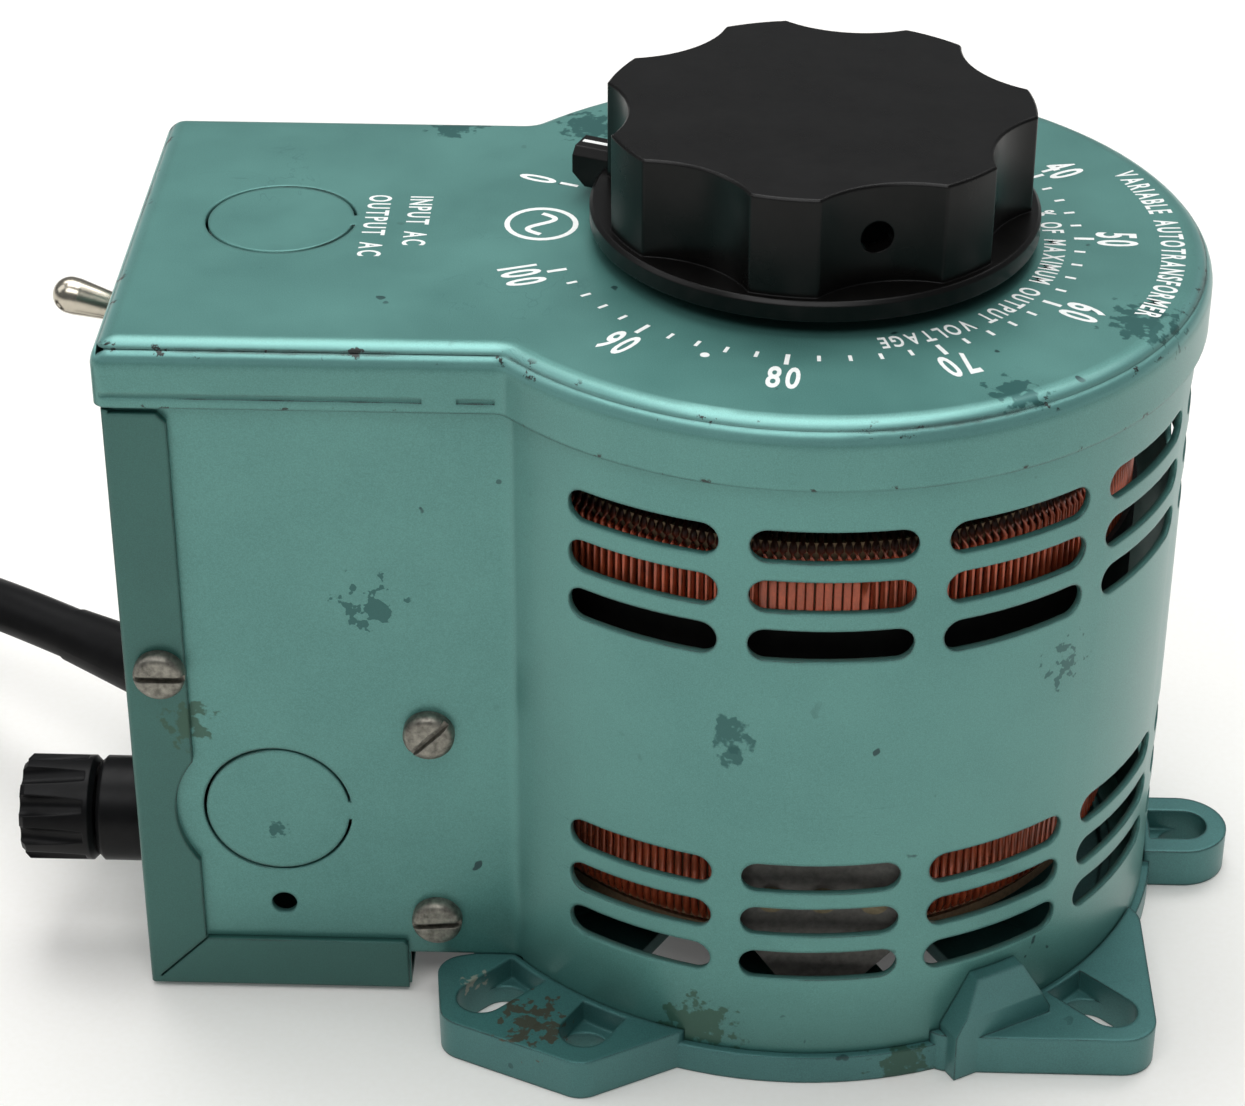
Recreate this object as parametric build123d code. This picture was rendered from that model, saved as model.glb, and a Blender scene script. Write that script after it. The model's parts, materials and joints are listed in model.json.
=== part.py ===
from build123d import *
from math import cos, pi, radians, sin, sqrt, tan
import os

# Enclosed variable autotransformer, portable bench type.
# Millimetres. The origin is on the shaft's axis at the underside of the base casting,
# +X points away from the terminal box, +Z points up along the shaft.

os.makedirs("parts", exist_ok=True)

# ---------------------------------------------------------------- driving dimensions
SHEET = 1.2                     # steel sheet of the case

# case
DRUM_R = 64.4                   # outside of the drum
BOX_HALF = 42.4                 # half width of the terminal box
BOX_END = -111.8                # where the case's side walls stop
BOX_BOTTOM = 0.9
BOX_FLOOR_END = -67.2           # the floor of the box stops before the base casting
CASE_TOP = 126.3
JOIN_FILLET = 3.0               # bend between the box and the drum

# top cover
COVER_R = 66.0
COVER_HALF = 43.8
COVER_END = -114.3
COVER_TOP = 127.7
SKIRT_BOTTOM = 116.6
COVER_EDGE_R = 4.2
COVER_CORNER_R = 2.5
COVER_HOLE_R = 9.0
SKIRT_BEAD_Z = 118.7            # line pressed round the skirt's straight sides
SKIRT_BEAD = (0.35, 0.8)        # depth, height
SKIRT_BEAD_RUNS = ((-113.0, -62.0), (-56.5, -50.5))

# end panel
PANEL_X = -113.0                # outer face
FLANGE_HALF = 43.7
FLANGE_TOP = 115.4
FLANGE_EDGE = -102.7
FLANGE_BOTTOM_EDGE = 10.7
FLANGE_BOTTOM_END = -67.5
MITRE_GAP = 0.4                 # open seam where the two flanges meet

# knockouts, screws and holes in the box
KNOCKOUT_R = 12.7
KNOCKOUT_GAP = 0.5
KNOCKOUT_TAB = 16.0             # degrees of metal left
SIDE_KNOCKOUT = (-88.9, 37.9)   # x, z
TOP_KNOCKOUT = (-89.0, 1.8)     # x, y
NOTCH_R = 17.3
SIDE_HOLE = (-88.8, 18.0)
SIDE_HOLE_R = 2.2
SIDE_SCREWS = ((-106.9, 66.5, 0), (-62.7, 54.5, 45), (-62.3, 15.5, 5))
SCREW_HEAD_R = 4.35
SCREW_HEAD_H = 2.6
SCREW_R = 2.08
NUT_SIDE = 8.0
NUT_THICK = 2.4

# vents
VENT_ANGLES = [-115.2 + 27.86 * i for i in range(9)]
VENT_ROWS = (105.6, 96.5, 87.5, 41.9, 33.0, 24.0)
VENT_LONG = 26.2
VENT_HIGH = 5.8

# base casting
BASE_R = 65.7
RING_H = 5.3
RING_IN_R = 57.0
BASE_FLOOR = 3.0
EAR_H = 7.6
BOLT_CIRCLE_R = 72.0
EAR_HOLE_R = 4.3
SLOT_INNER = 71.2
SLOT_OUTER = 76.4
RECESS_FLOOR = 3.4              # the mouths of holes and slots open towards the drum above this
SHELL_CLEAR = 0.15
BASE_SCREW_R = 61.0
BASE_SCREW_ANGLES = (-90.0, -20.0, 20.0, 90.0)

# shaft and bearings
SHAFT_R = 4.76
RUN_CLEAR = 0.04                # radial running clearance
BUSH_R = 7.0
BUSH_FLANGE_R = 9.5
BUSH_FLANGE_H = 1.8
HUB_R = 11.5
HUB_TOP = 103.0
SHAFT_BOTTOM = 3.2
SHAFT_TOP = 146.8

# coil
COIL_BOTTOM = 23.0
COIL_TOP = 102.0
COIL_R = 56.0
COIL_IN_R = 20.0
WIRE = 1.3
CORE_GAP = 1.3                  # insulation between core and winding
CUP_REACH = 12.0                # how far the end cups reach along the core
LEAD_GAP_ANGLE = 179.0          # the winding is open here, towards the box
LEAD_GAP = 30.0
BAND = (44.5, 85.5)
TRACK_R = (35.0, 47.0)
TRACK_H = 0.3
BOLT_R = 15.8
BOLT_ANGLES = (90, 210, 330)
CLAMP_R = 30.0

# terminal board in front of the coil
BOARD_X = (-11.0, 18.0)
BOARD_Y = -60.4
BOARD_Z = (17.6, 46.0)
BOARD_THICK = 1.6
LUG_X = (-5.0, 3.5, 12.0)
LUG_Z = 35.0

# rotor
REST_ANGLE = 158.0              # pointer at zero
TRAVEL = 317.7                  # degrees from zero to full output
BRUSH_R = 41.0
ARM_Z = (111.0, 114.0)
ARM_R = 50.0
STOP_R = 25.0
STOP_PIN_R = 1.9
STOP_HALF_ANGLE = 16.0
KNOB_TOP = 150.7
KNOB_R = 35.6
SCALLOP_MID_R = 31.0
LOBES = 7
KNOB_BOTTOM = 133.8
FLANGE_Z = (130.5, 133.8)
KNOB_FLANGE_R = 37.3
POINTER_R = 42.5
POINTER_HALF = 3.5
POINTER_TOP_HALF = 2.2
POINTER_Z = (129.8, 136.5)
KNOB_INSERT_R = 8.0
SET_SCREW_ANGLE = -73.2
SET_SCREW_Z = 141.7

# toggle switch
TOGGLE_Y = 7.0
TOGGLE_Z = 105.2
TOGGLE_TILT = 17.0
TOGGLE_PIVOT = -111.0
BAT_LENGTH = 19.6
BAT_R = 3.2
TOGGLE_BUSH_R = 6.0

# fuse holder
FUSE_Y = -26.0
FUSE_Z = 25.6
FUSE_R = 9.25
FLUTES = 10
FLUTE_R = 1.9
BARREL_R = 6.5

# outlet
OUTLET_Y = 5.0
OUTLET_Z = 72.0
OUTLET_FACE_R = 17.4
OUTLET_SCREW_Y = 21.5           # from the outlet's middle to each strap screw

# wiring inside the box
LEAD_R = 1.5

# mains lead, put away as a round coil beside the box, with its plug lying on the coil
CORD_R = 4.75
EXIT = (-113.0, -0.2, 36.2)
EXIT_YAW = 33.0
RELIEF_LENGTH = 24.0
RELIEF_R = (6.4, 5.05)
COIL_CENTRE = (-247.3, 30.3)
COIL_MID_R = 50.0
COIL_HALF = 14.3
COIL_STACK = 17.8
PLUG_HALF = 12.6                # half of the plug body's height
PLUG_AXIS_X = COIL_CENTRE[0] - 46.0
PLUG_Z = COIL_STACK + PLUG_HALF
PLUG_START = COIL_CENTRE[1]     # y where the plug's neck begins
PLUG_LENGTH = 40.0
TAIL_SWING_R = 55.0             # plan radius of the lead's last bend


# ---------------------------------------------------------------- helpers
def save(shape, name):
    """Write one sub-part."""
    export_step(shape, f"parts/{name}.step")


def together(solids):
    """Separate solids that share one node."""
    return Compound(children=list(solids))


def spin(angle):
    return Rot(0, 0, angle)


def disc(radius, z0, z1):
    return Pos(0, 0, (z0 + z1) / 2) * Cylinder(radius, z1 - z0)


def tube(outer, inner, z0, z1):
    return disc(outer, z0, z1) - disc(inner, z0 - 1, z1 + 1)


def block(x0, x1, y0, y1, z0, z1):
    centre = Pos((x0 + x1) / 2, (y0 + y1) / 2, (z0 + z1) / 2)
    return centre * Box(x1 - x0, y1 - y0, z1 - z0)


def rod_x(radius, x0, x1, y, z):
    """A cylinder along X."""
    return Pos((x0 + x1) / 2, y, z) * Rot(0, 90, 0) * Cylinder(radius, abs(x1 - x0))


def polar(radius, angle, z=0.0):
    return (radius * cos(radians(angle)), radius * sin(radians(angle)), z)


def radial_plane(angle, z, distance=0.0):
    """A plane that faces outwards at an angle round the shaft."""
    out = Vector(cos(radians(angle)), sin(radians(angle)), 0)
    along = Vector(-sin(radians(angle)), cos(radians(angle)), 0)
    return Plane(origin=out * distance + Vector(0, 0, z), x_dir=along, z_dir=out)


def keyhole(radius, half, end, corner=0.0):
    """The case's plan: a round drum with a straight-sided box on its -X side."""
    plan = Circle(radius) + Pos(end / 2, 0) * Rectangle(-end, 2 * half)
    inner = [v for v in plan.vertices() if v.X > end + 1 and abs(abs(v.Y) - half) < 0.01]
    plan = fillet(inner, JOIN_FILLET)
    if corner:
        ends = [v for v in plan.vertices() if v.X < end + 0.01]
        plan = fillet(ends, corner)
    return plan


def prism(plan, z0, z1):
    return extrude(Plane.XY.offset(z0) * plan, z1 - z0)


def knockout_cut(tab_angle):
    """The ring that is punched round a knockout, without its tab."""
    ring = Circle(KNOCKOUT_R) - Circle(KNOCKOUT_R - KNOCKOUT_GAP)
    tab_width = 2 * KNOCKOUT_R * sin(radians(KNOCKOUT_TAB / 2))
    tab = Rot(0, 0, tab_angle) * Pos(KNOCKOUT_R, 0) * Rectangle(6, tab_width)
    return ring - tab


def slotted_screw(head_r, head_h, shank_r, shank, turn=0.0):
    """A round-head slotted screw: head up from z=0, shank down."""
    head = Cylinder(head_r, head_h, align=(Align.CENTER, Align.CENTER, Align.MIN))
    rim = head.edges().group_by(Axis.Z)[-1]
    head = fillet(rim, head_h * 0.55)
    slot = Pos(0, 0, head_h) * Box(2.2 * head_r, 1.15, head_h * 0.95)
    shank_solid = Cylinder(shank_r, shank, align=(Align.CENTER, Align.CENTER, Align.MAX))
    return Rot(0, 0, turn) * (head - slot) + shank_solid


def hex_nut(across, bore, height):
    nut = extrude(RegularPolygon(across / sqrt(3), 6), height)
    return nut - Cylinder(bore, 3 * height)


# ---------------------------------------------------------------- case
def case_shell():
    outer = keyhole(DRUM_R, BOX_HALF, BOX_END)
    inner = keyhole(DRUM_R - SHEET, BOX_HALF - SHEET, BOX_END)
    wall = prism(outer - inner, BOX_BOTTOM, CASE_TOP)
    wall -= block(BOX_END - 1, BOX_END + 0.01, -60, 60, -1, 130)
    # the drum stands on the base ring, the box hangs down beside it
    wall -= block(BOX_FLOOR_END, 80, -80, 80, -1, EAR_H + 0.2)
    drum_foot = prism((outer - inner) & (Pos(9, 0) * Rectangle(113, 140)), RING_H, EAR_H + 0.2)
    floor = block(BOX_END, BOX_FLOOR_END, -BOX_HALF, BOX_HALF, BOX_BOTTOM, BOX_BOTTOM + SHEET)
    foot = tube(DRUM_R - 0.4, 58.5, RING_H, RING_H + SHEET)
    foot -= block(-80, -44, -80, 80, 0, 20)
    shell = wall + drum_foot + floor + foot
    for angle in VENT_ANGLES:
        for z in VENT_ROWS:
            slot = radial_plane(angle, z, 50) * SlotOverall(VENT_LONG, VENT_HIGH)
            shell -= extrude(slot, 20)
    shell -= side_cuts()
    for angle in BASE_SCREW_ANGLES:
        shell -= Pos(*polar(BASE_SCREW_R, angle, 6)) * Cylinder(1.6, 8)
    return shell


def side_cuts():
    """Holes through the box's two side walls."""
    cuts = []
    for side in (-1, 1):
        face = Plane(origin=(0, side * (BOX_HALF + 2), 0), x_dir=(1, 0, 0), z_dir=(0, -1, 0))
        for x, z, _ in SIDE_SCREWS:
            cuts.append(extrude(face * Pos(x, z) * Circle(SCREW_R + 0.1), 5 * side))
        hole = face * Pos(*SIDE_HOLE) * Circle(SIDE_HOLE_R)
        cuts.append(extrude(hole, 5 * side))
        ring = face * Pos(*SIDE_KNOCKOUT) * knockout_cut(0)
        cuts.append(extrude(ring, 5 * side))
    return Compound(children=cuts)


def top_cover():
    body = prism(keyhole(COVER_R, COVER_HALF, COVER_END, COVER_CORNER_R), SKIRT_BOTTOM, COVER_TOP)
    body = fillet(body.edges().group_by(Axis.Z)[-1], COVER_EDGE_R)
    hollow_plan = keyhole(COVER_R - SHEET, COVER_HALF - SHEET + 0.1, COVER_END + SHEET)
    hollow = prism(hollow_plan, SKIRT_BOTTOM - 1, COVER_TOP - SHEET)
    cover = body - hollow - disc(COVER_HOLE_R, 120, 130)
    depth, height = SKIRT_BEAD
    for x0, x1 in SKIRT_BEAD_RUNS:
        for side in (-1, 1):
            cover -= Pos((x0 + x1) / 2, side * COVER_HALF, SKIRT_BEAD_Z) * Box(x1 - x0, 2 * depth, height)
    ring = Plane.XY.offset(120) * Pos(*TOP_KNOCKOUT) * knockout_cut(0)
    return cover - extrude(ring, 10)


def end_panel():
    inner_x = PANEL_X + SHEET
    face = block(PANEL_X, inner_x, -FLANGE_HALF, FLANGE_HALF, BOX_BOTTOM, FLANGE_TOP + 0.6)
    side = Polyline(
        (PANEL_X, FLANGE_TOP),
        (FLANGE_EDGE - 1.5, FLANGE_TOP),
        (FLANGE_EDGE, FLANGE_TOP - 1.5),
        (FLANGE_EDGE, FLANGE_BOTTOM_EDGE),
        (FLANGE_BOTTOM_END - 0.6, FLANGE_BOTTOM_EDGE),
        (FLANGE_BOTTOM_END, FLANGE_BOTTOM_EDGE - 0.6),
        (FLANGE_BOTTOM_END, BOX_BOTTOM),
        (PANEL_X, BOX_BOTTOM),
        close=True,
    )
    plan = make_face(side) - Pos(*SIDE_KNOCKOUT) * Circle(NOTCH_R)
    corner = Pos(FLANGE_EDGE, FLANGE_BOTTOM_EDGE) * Rot(0, 0, 45) * Pos(-5.5, 0)
    plan -= corner * Rectangle(13.0, MITRE_GAP)
    flange_x, flange_z, _ = SIDE_SCREWS[0]
    plan -= Pos(flange_x, flange_z) * Circle(SCREW_R + 0.1)
    thick = FLANGE_HALF - BOX_HALF
    front = Plane(origin=(0, -BOX_HALF, 0), x_dir=(1, 0, 0), z_dir=(0, -1, 0))
    flange = extrude(front * plan, thick)
    panel = face + flange + mirror(flange, about=Plane.XZ)
    bends = [e for e in panel.edges().filter_by(Axis.Z) if abs(e.center().X - PANEL_X) < 0.01]
    panel = fillet(bends, 0.9)
    panel -= rod_x(6.1, PANEL_X - 5, PANEL_X + 5, TOGGLE_Y, TOGGLE_Z)
    panel -= rod_x(6.6, PANEL_X - 5, PANEL_X + 5, FUSE_Y, FUSE_Z)
    panel -= rod_x(7.5, PANEL_X - 5, PANEL_X + 5, EXIT[1], EXIT[2])
    panel -= rod_x(OUTLET_FACE_R + 0.2, PANEL_X - 5, PANEL_X + 5, OUTLET_Y, OUTLET_Z)
    for side_y in (-1, 1):
        panel -= rod_x(1.8, PANEL_X - 5, PANEL_X + 5, OUTLET_Y + side_y * OUTLET_SCREW_Y, OUTLET_Z)
    return panel


def panel_screws():
    """Slotted screws in the box's sides, front and back."""
    screws = []
    for side in (-1, 1):
        for x, z, turn in SIDE_SCREWS:
            seat = FLANGE_HALF if x < FLANGE_EDGE else BOX_HALF
            place = Plane(origin=(x, side * seat, z), x_dir=(1, 0, 0), z_dir=(0, side, 0))
            screw = slotted_screw(SCREW_HEAD_R, SCREW_HEAD_H, SCREW_R, 9.0, turn)
            screws.append(place * screw)
    return together(screws)


def panel_nuts():
    """Square clip nuts inside the walls."""
    nuts = []
    for side in (-1, 1):
        for x, z, _ in SIDE_SCREWS:
            nut = Box(NUT_SIDE, NUT_SIDE, NUT_THICK) - Cylinder(SCREW_R, 10)
            nuts.append(Pos(x, side * (BOX_HALF - SHEET - NUT_THICK / 2), z) * Rot(90, 0, 0) * nut)
    return together(nuts)


# ---------------------------------------------------------------- base casting
def front_left_ear():
    """Ear with a bolt hole and a slot, beside the box."""
    outline = FilletPolyline(
        (-14.0, -58.0), (-20.0, -62.4), (-36.3, -71.6), (-60.6, -60.2), (-62.5, -44.0), (-40.0, -38.0),
        radius=5.0, close=True,
    )
    return prism(make_face(outline), 0, EAR_H)


def front_right_ear():
    """Square-cornered ear with a slot."""
    outline = FilletPolyline(
        (18.0, -56.0), (24.0, -62.0), (61.3, -62.0), (61.3, -26.0), (52.0, -20.0),
        radius=6.0, close=True,
    )
    return prism(make_face(outline), 0, EAR_H)


def locating_lug(angle):
    """Tapered lug that stands against the drum above the ear."""
    side = make_face(Polyline((-9.5, 0), (9.5, 0), (9.5, 9.0), (4.5, 18.4), (-4.5, 18.4), (-9.5,
            9.0), close=True))
    lug = extrude(radial_plane(angle, 0, 60) * side, 9)
    slope = radial_plane(angle, 18.4, 67.0) * Rot(-18, 0, 0)
    return lug - slope * Pos(0, 0, 10) * Box(60, 60, 20)


def base_casting():
    base = tube(BASE_R, RING_IN_R, 0, RING_H) + disc(RING_IN_R + 1, 0, BASE_FLOOR)
    base += disc(HUB_R, 0, HUB_TOP)
    right = block(50, 71.5, -8.4, 8.4, 0, EAR_H) + Pos(71.5, 0, EAR_H / 2) * Cylinder(8.4, EAR_H)
    ears = right + front_left_ear() + front_right_ear() + locating_lug(-59.5)
    ears += mirror(front_left_ear() + front_right_ear() + locating_lug(-59.5), about=Plane.XZ)
    ears -= disc(DRUM_R + SHELL_CLEAR, RING_H, 40)
    ears -= disc(RING_IN_R + 1, -1, 40)
    base += ears
    for angle in (0, -120, 120):
        mouth = block(56, BOLT_CIRCLE_R, -EAR_HOLE_R, EAR_HOLE_R, RECESS_FLOOR, 20)
        base -= spin(angle) * (mouth - disc(BASE_R, 0, 30))
        base -= Pos(*polar(BOLT_CIRCLE_R, angle)) * Cylinder(EAR_HOLE_R, 40)
    for angle in (-45, 45, -135, 135):
        mouth = block(56, SLOT_INNER, -EAR_HOLE_R, EAR_HOLE_R, RECESS_FLOOR, 20) - disc(BASE_R, 0, 30)
        base -= spin(angle) * mouth
        middle = polar((SLOT_INNER + SLOT_OUTER) / 2, angle)
        slot = SlotOverall(SLOT_OUTER - SLOT_INNER + 2 * EAR_HOLE_R, 2 * EAR_HOLE_R)
        base -= Pos(*middle) * spin(angle) * extrude(slot, 20, both=True)
    # coil seats: six ribs from the hub to the rim, with air openings between them
    for i in range(6):
        rib = block(10, 55, -2.2, 2.2, 0, COIL_BOTTOM - 2.0)
        base += spin(60 * i + 30) * rib
        opening = spin(60 * i) * Pos(38, 0, 0) * extrude(SlotOverall(26, 12), 20, both=True)
        base -= opening
    for angle in BASE_SCREW_ANGLES:
        hole = Pos(*polar(BASE_SCREW_R, angle)) * Cylinder(1.6, 30)
        head_recess = Pos(*polar(BASE_SCREW_R, angle)) * Cylinder(3.2, 5.0)
        base -= hole + head_recess
    for angle in BOLT_ANGLES:
        base += Pos(*polar(BOLT_R, angle, 10)) * Cylinder(4.2, 20)
        base -= Pos(*polar(BOLT_R, angle, 12)) * Cylinder(1.95, 20)
    base -= disc(BUSH_R, -1, 200)
    return base


def base_screws():
    screws = []
    for angle in BASE_SCREW_ANGLES:
        screw = slotted_screw(2.9, 1.7, 1.5, 6.5)
        screws.append(Pos(*polar(BASE_SCREW_R, angle, 2.5)) * Rot(180, 0, 0) * screw)
    return together(screws)


# ---------------------------------------------------------------- bearings and shaft
def flanged_bush(z_flange, length, direction):
    """Bronze bush; its flange lies at z_flange and its body goes the other way."""
    body = disc(BUSH_R, *sorted((z_flange, z_flange - direction * length)))
    flange = disc(BUSH_FLANGE_R, *sorted((z_flange, z_flange + direction * BUSH_FLANGE_H)))
    return body + flange - disc(SHAFT_R + RUN_CLEAR, 0, 200)


def upper_bushing():
    return flanged_bush(HUB_TOP, 16.0, 1)


def lower_bushing():
    body = disc(BUSH_R, 5.5, 20.0)
    return body - disc(SHAFT_R + RUN_CLEAR, 0, 200)


def shaft():
    rod = disc(SHAFT_R, SHAFT_BOTTOM, SHAFT_TOP)
    rod = chamfer(rod.edges().group_by(Axis.Z)[-1] + rod.edges().group_by(Axis.Z)[0], 0.5)
    groove = tube(SHAFT_R + 1, SHAFT_R - 0.6, 4.2, 5.2)
    return rod - groove


def retaining_ring():
    ring = tube(SHAFT_R + 1.8, SHAFT_R - 0.6, 4.25, 5.15)
    return ring - block(0, 20, -1.6, 1.6, 0, 10)


def thrust_washer():
    return tube(BUSH_FLANGE_R, SHAFT_R + 0.02, HUB_TOP + 1.85, HUB_TOP + 3.1)


# ---------------------------------------------------------------- coil
def sector_gap(height0, height1, margin):
    """The wedge that the winding leaves open for its leads."""
    half = LEAD_GAP / 2 + margin
    wedge = make_face(Polyline((0, 0), polar(90, half)[:2], (100, 0), polar(90, -half)[:2], close=True))
    return spin(LEAD_GAP_ANGLE) * prism(wedge, height0, height1)


def core():
    grow = WIRE + CORE_GAP
    return tube(COIL_R - grow, COIL_IN_R + grow, COIL_BOTTOM + grow, COIL_TOP - grow)


def core_cap(z_face, direction):
    """Moulded insulating cup on one end of the core."""
    inner = COIL_IN_R + WIRE
    outer = COIL_R - WIRE
    reach = z_face - direction * CUP_REACH
    low, high = sorted((z_face, reach))
    cup = tube(outer, inner, low, high)
    grow = WIRE + CORE_GAP
    hollow = tube(COIL_R - grow, COIL_IN_R + grow, *sorted((z_face - direction * CORE_GAP,
            reach - direction)))
    return cup - hollow


def core_wrap():
    """Paper wrap on the core between the two end cups."""
    low = COIL_BOTTOM + WIRE + CUP_REACH
    high = COIL_TOP - WIRE - CUP_REACH
    outside = tube(COIL_R - WIRE, COIL_R - WIRE - CORE_GAP, low, high)
    inside = tube(COIL_IN_R + WIRE + CORE_GAP, COIL_IN_R + WIRE, low, high)
    return together([outside, inside])


def winding():
    outer = tube(COIL_R, COIL_IN_R, COIL_BOTTOM, COIL_TOP)
    rims = [e for e in outer.edges().filter_by(GeomType.CIRCLE) if e.radius > COIL_R - 1]
    outer = fillet(rims, 1.2)
    hollow = tube(COIL_R - WIRE, COIL_IN_R + WIRE, COIL_BOTTOM + WIRE, COIL_TOP - WIRE)
    return outer - hollow - sector_gap(0, 200, 0)


def commutator_track():
    return tube(TRACK_R[1], TRACK_R[0], COIL_TOP, COIL_TOP + TRACK_H) - sector_gap(0, 200, 0.5)


def insulation_band():
    return tube(COIL_R + 0.8, COIL_R, *BAND)


def coil_seat():
    return tube(54.0, 19.0, COIL_BOTTOM - 2.0, COIL_BOTTOM)


def coil_clamp():
    plate = tube(CLAMP_R, HUB_R + 0.1, COIL_TOP + 0.2, COIL_TOP + 2.4)
    pad = tube(CLAMP_R, COIL_IN_R + 0.5, COIL_TOP, COIL_TOP + 0.2)
    plate += pad
    for angle in BOLT_ANGLES:
        plate -= Pos(*polar(BOLT_R, angle, COIL_TOP)) * Cylinder(2.1, 20)
    return plate


def stop_block():
    """End stop for the arm's pin, on the clamp plate."""
    ring = tube(29.0, 21.0, COIL_TOP + 2.4, COIL_TOP + 7.5)
    half = STOP_HALF_ANGLE
    wedge = make_face(Polyline((0, 0), polar(60, half)[:2], polar(60, -half)[:2], close=True))
    return spin(REST_ANGLE + (360 - TRAVEL) / 2) * (ring & prism(wedge, 0, 200))


def arm_stop_pin():
    """Pin under the arm that meets the end stop."""
    return Pos(*polar(STOP_R, REST_ANGLE)) * disc(STOP_PIN_R, COIL_TOP + 3.4, ARM_Z[0])


def coil_bolts():
    bolts = []
    for angle in BOLT_ANGLES:
        bolt = slotted_screw(3.4, 1.8, 1.9, COIL_TOP + 2.4 - 8.0)
        bolts.append(Pos(*polar(BOLT_R, angle, COIL_TOP + 2.4)) * bolt)
    return together(bolts)


# ---------------------------------------------------------------- terminals
def terminal_board():
    """Phenolic board in front of the coil, tapered at its foot."""
    shape = make_face(Polyline(
        (-3.0, BOARD_Z[0]), (9.2, BOARD_Z[0]), (BOARD_X[1], 27.6), (BOARD_X[1], BOARD_Z[1]),
        (BOARD_X[0], BOARD_Z[1]), (BOARD_X[0], 29.0), close=True,
    ))
    for x in LUG_X:
        shape -= Pos(x, LUG_Z) * Circle(1.6)
    front = Plane(origin=(0, BOARD_Y, 0), x_dir=(1, 0, 0), z_dir=(0, -1, 0))
    board = extrude(front * shape, -BOARD_THICK)
    return board & disc(DRUM_R - SHEET - 0.1, 0, 100)


def terminal_lugs():
    lugs = []
    for x in LUG_X:
        ring = Circle(3.0) + Pos(0, 5) * Rectangle(2.6, 10)
        ring -= Circle(1.6)
        ring -= Pos(0, 8) * Circle(0.7)
        plane = Plane(origin=(x, BOARD_Y + BOARD_THICK, LUG_Z), x_dir=(1, 0, 0), z_dir=(0, 1, 0))
        lugs.append(extrude(plane * ring, 0.6))
    return together(lugs)


def terminal_rivets():
    rivets = []
    for x in LUG_X:
        rivet = rod_y(1.58, BOARD_Y, BOARD_Y + BOARD_THICK + 0.6, x, LUG_Z)
        rivet += rod_y(2.4, BOARD_Y + BOARD_THICK + 0.6, BOARD_Y + BOARD_THICK + 1.3, x, LUG_Z)
        rivet += rod_y(2.4, BOARD_Y - 0.6, BOARD_Y, x, LUG_Z)
        rivets.append(rivet)
    return together(rivets)


def rod_y(radius, y0, y1, x, z):
    """A cylinder along Y."""
    return Pos(x, (y0 + y1) / 2, z) * Rot(90, 0, 0) * Cylinder(radius, abs(y1 - y0))


# ---------------------------------------------------------------- rotor
def brush_arm():
    """Cast radiator arm: hub, web and a rim sector over the track."""
    hub = disc(10.5, HUB_TOP + 3.1, 121.0)
    rim = disc(ARM_R, *ARM_Z) - sector_gap_open()
    arm = hub + rim
    for i in (-1, 1):
        fin = spin(i * 22) * block(12, ARM_R - 3, -1.0, 1.0, ARM_Z[1], ARM_Z[1] + 3.0)
        arm += fin
    arm -= disc(SHAFT_R, 90, 130)
    arm -= block(BRUSH_R - 7.1, BRUSH_R + 7.1, -5.1, 5.1, 100, 130)
    arm -= radial_hole(180, 118.0, 1.6, 20)
    return spin(REST_ANGLE) * arm


def sector_gap_open():
    """Cut-away side of the radiator arm."""
    half = 115.0
    points = [polar(95, 180 - half)[:2], (0, 95), (-95, 95), (-95, -95), (0, -95), polar(95, half - 180)[:2]]
    wedge = make_face(Polyline((0, 0), *points, close=True))
    return prism(wedge, ARM_Z[0] - 1, ARM_Z[1] + 1) - disc(12, 0, 200)


def radial_hole(angle, z, radius, reach):
    """A hole from the axis outwards."""
    return extrude(radial_plane(angle, z) * Circle(radius), reach)


def arm_set_screw():
    screw = extrude(radial_plane(180, 118.0, SHAFT_R + 0.05) * Circle(1.58), 5.2)
    screw -= extrude(radial_plane(180, 118.0, 8.6) * RegularPolygon(0.9, 6), 5)
    return spin(REST_ANGLE) * screw


def brush_holder():
    """Brass box through the arm, open towards the track."""
    low = COIL_TOP + 1.6
    high = 117.5
    body = block(BRUSH_R - 7, BRUSH_R + 7, -5, 5, low, high)
    body -= block(BRUSH_R - 5.1, BRUSH_R + 5.1, -3.1, 3.1, low - 1, high - 1.2)
    wings = block(BRUSH_R - 11, BRUSH_R + 9, -5, 5, ARM_Z[1], ARM_Z[1] + 1.2)
    wings -= block(BRUSH_R - 6.5, BRUSH_R + 6.5, -4.5, 4.5, 100, 130)
    return spin(REST_ANGLE) * (body + wings)


def carbon_brush():
    brush = block(BRUSH_R - 5, BRUSH_R + 5, -3, 3, COIL_TOP + TRACK_H + 0.05, COIL_TOP + 8.0)
    return spin(REST_ANGLE) * brush


def brush_spring():
    """Flat-wound compression spring between the holder's cap and the brush."""
    low = COIL_TOP + 8.0
    high = 116.3
    turns = 4
    radius = 2.1
    wire = 0.35
    rise = high - low - 2 * wire - 0.04
    path = Helix(pitch=rise / turns, height=rise, radius=radius)
    section = Plane(origin=path @ 0, z_dir=path % 0) * Circle(wire)
    spring = sweep(section, path=path)
    return spin(REST_ANGLE) * Pos(BRUSH_R, 0, low + wire + 0.02) * spring


def knob_plan(shrink=0.0):
    """Seven-lobed outline: arcs of the outer circle joined by hollow scallops."""
    pitch = 360.0 / LOBES
    lobe_half = 8.9
    outer = KNOB_R - shrink
    edges = []
    for i in range(LOBES):
        middle = i * pitch
        start = polar(outer, middle - lobe_half)[:2]
        top = polar(outer, middle)[:2]
        end = polar(outer, middle + lobe_half)[:2]
        edges.append(ThreePointArc(start, top, end))
        hollow = polar(SCALLOP_MID_R - shrink, middle + pitch / 2)[:2]
        following = polar(outer, middle + pitch - lobe_half)[:2]
        edges.append(ThreePointArc(end, hollow, following))
    return make_face(Wire(edges))


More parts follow.
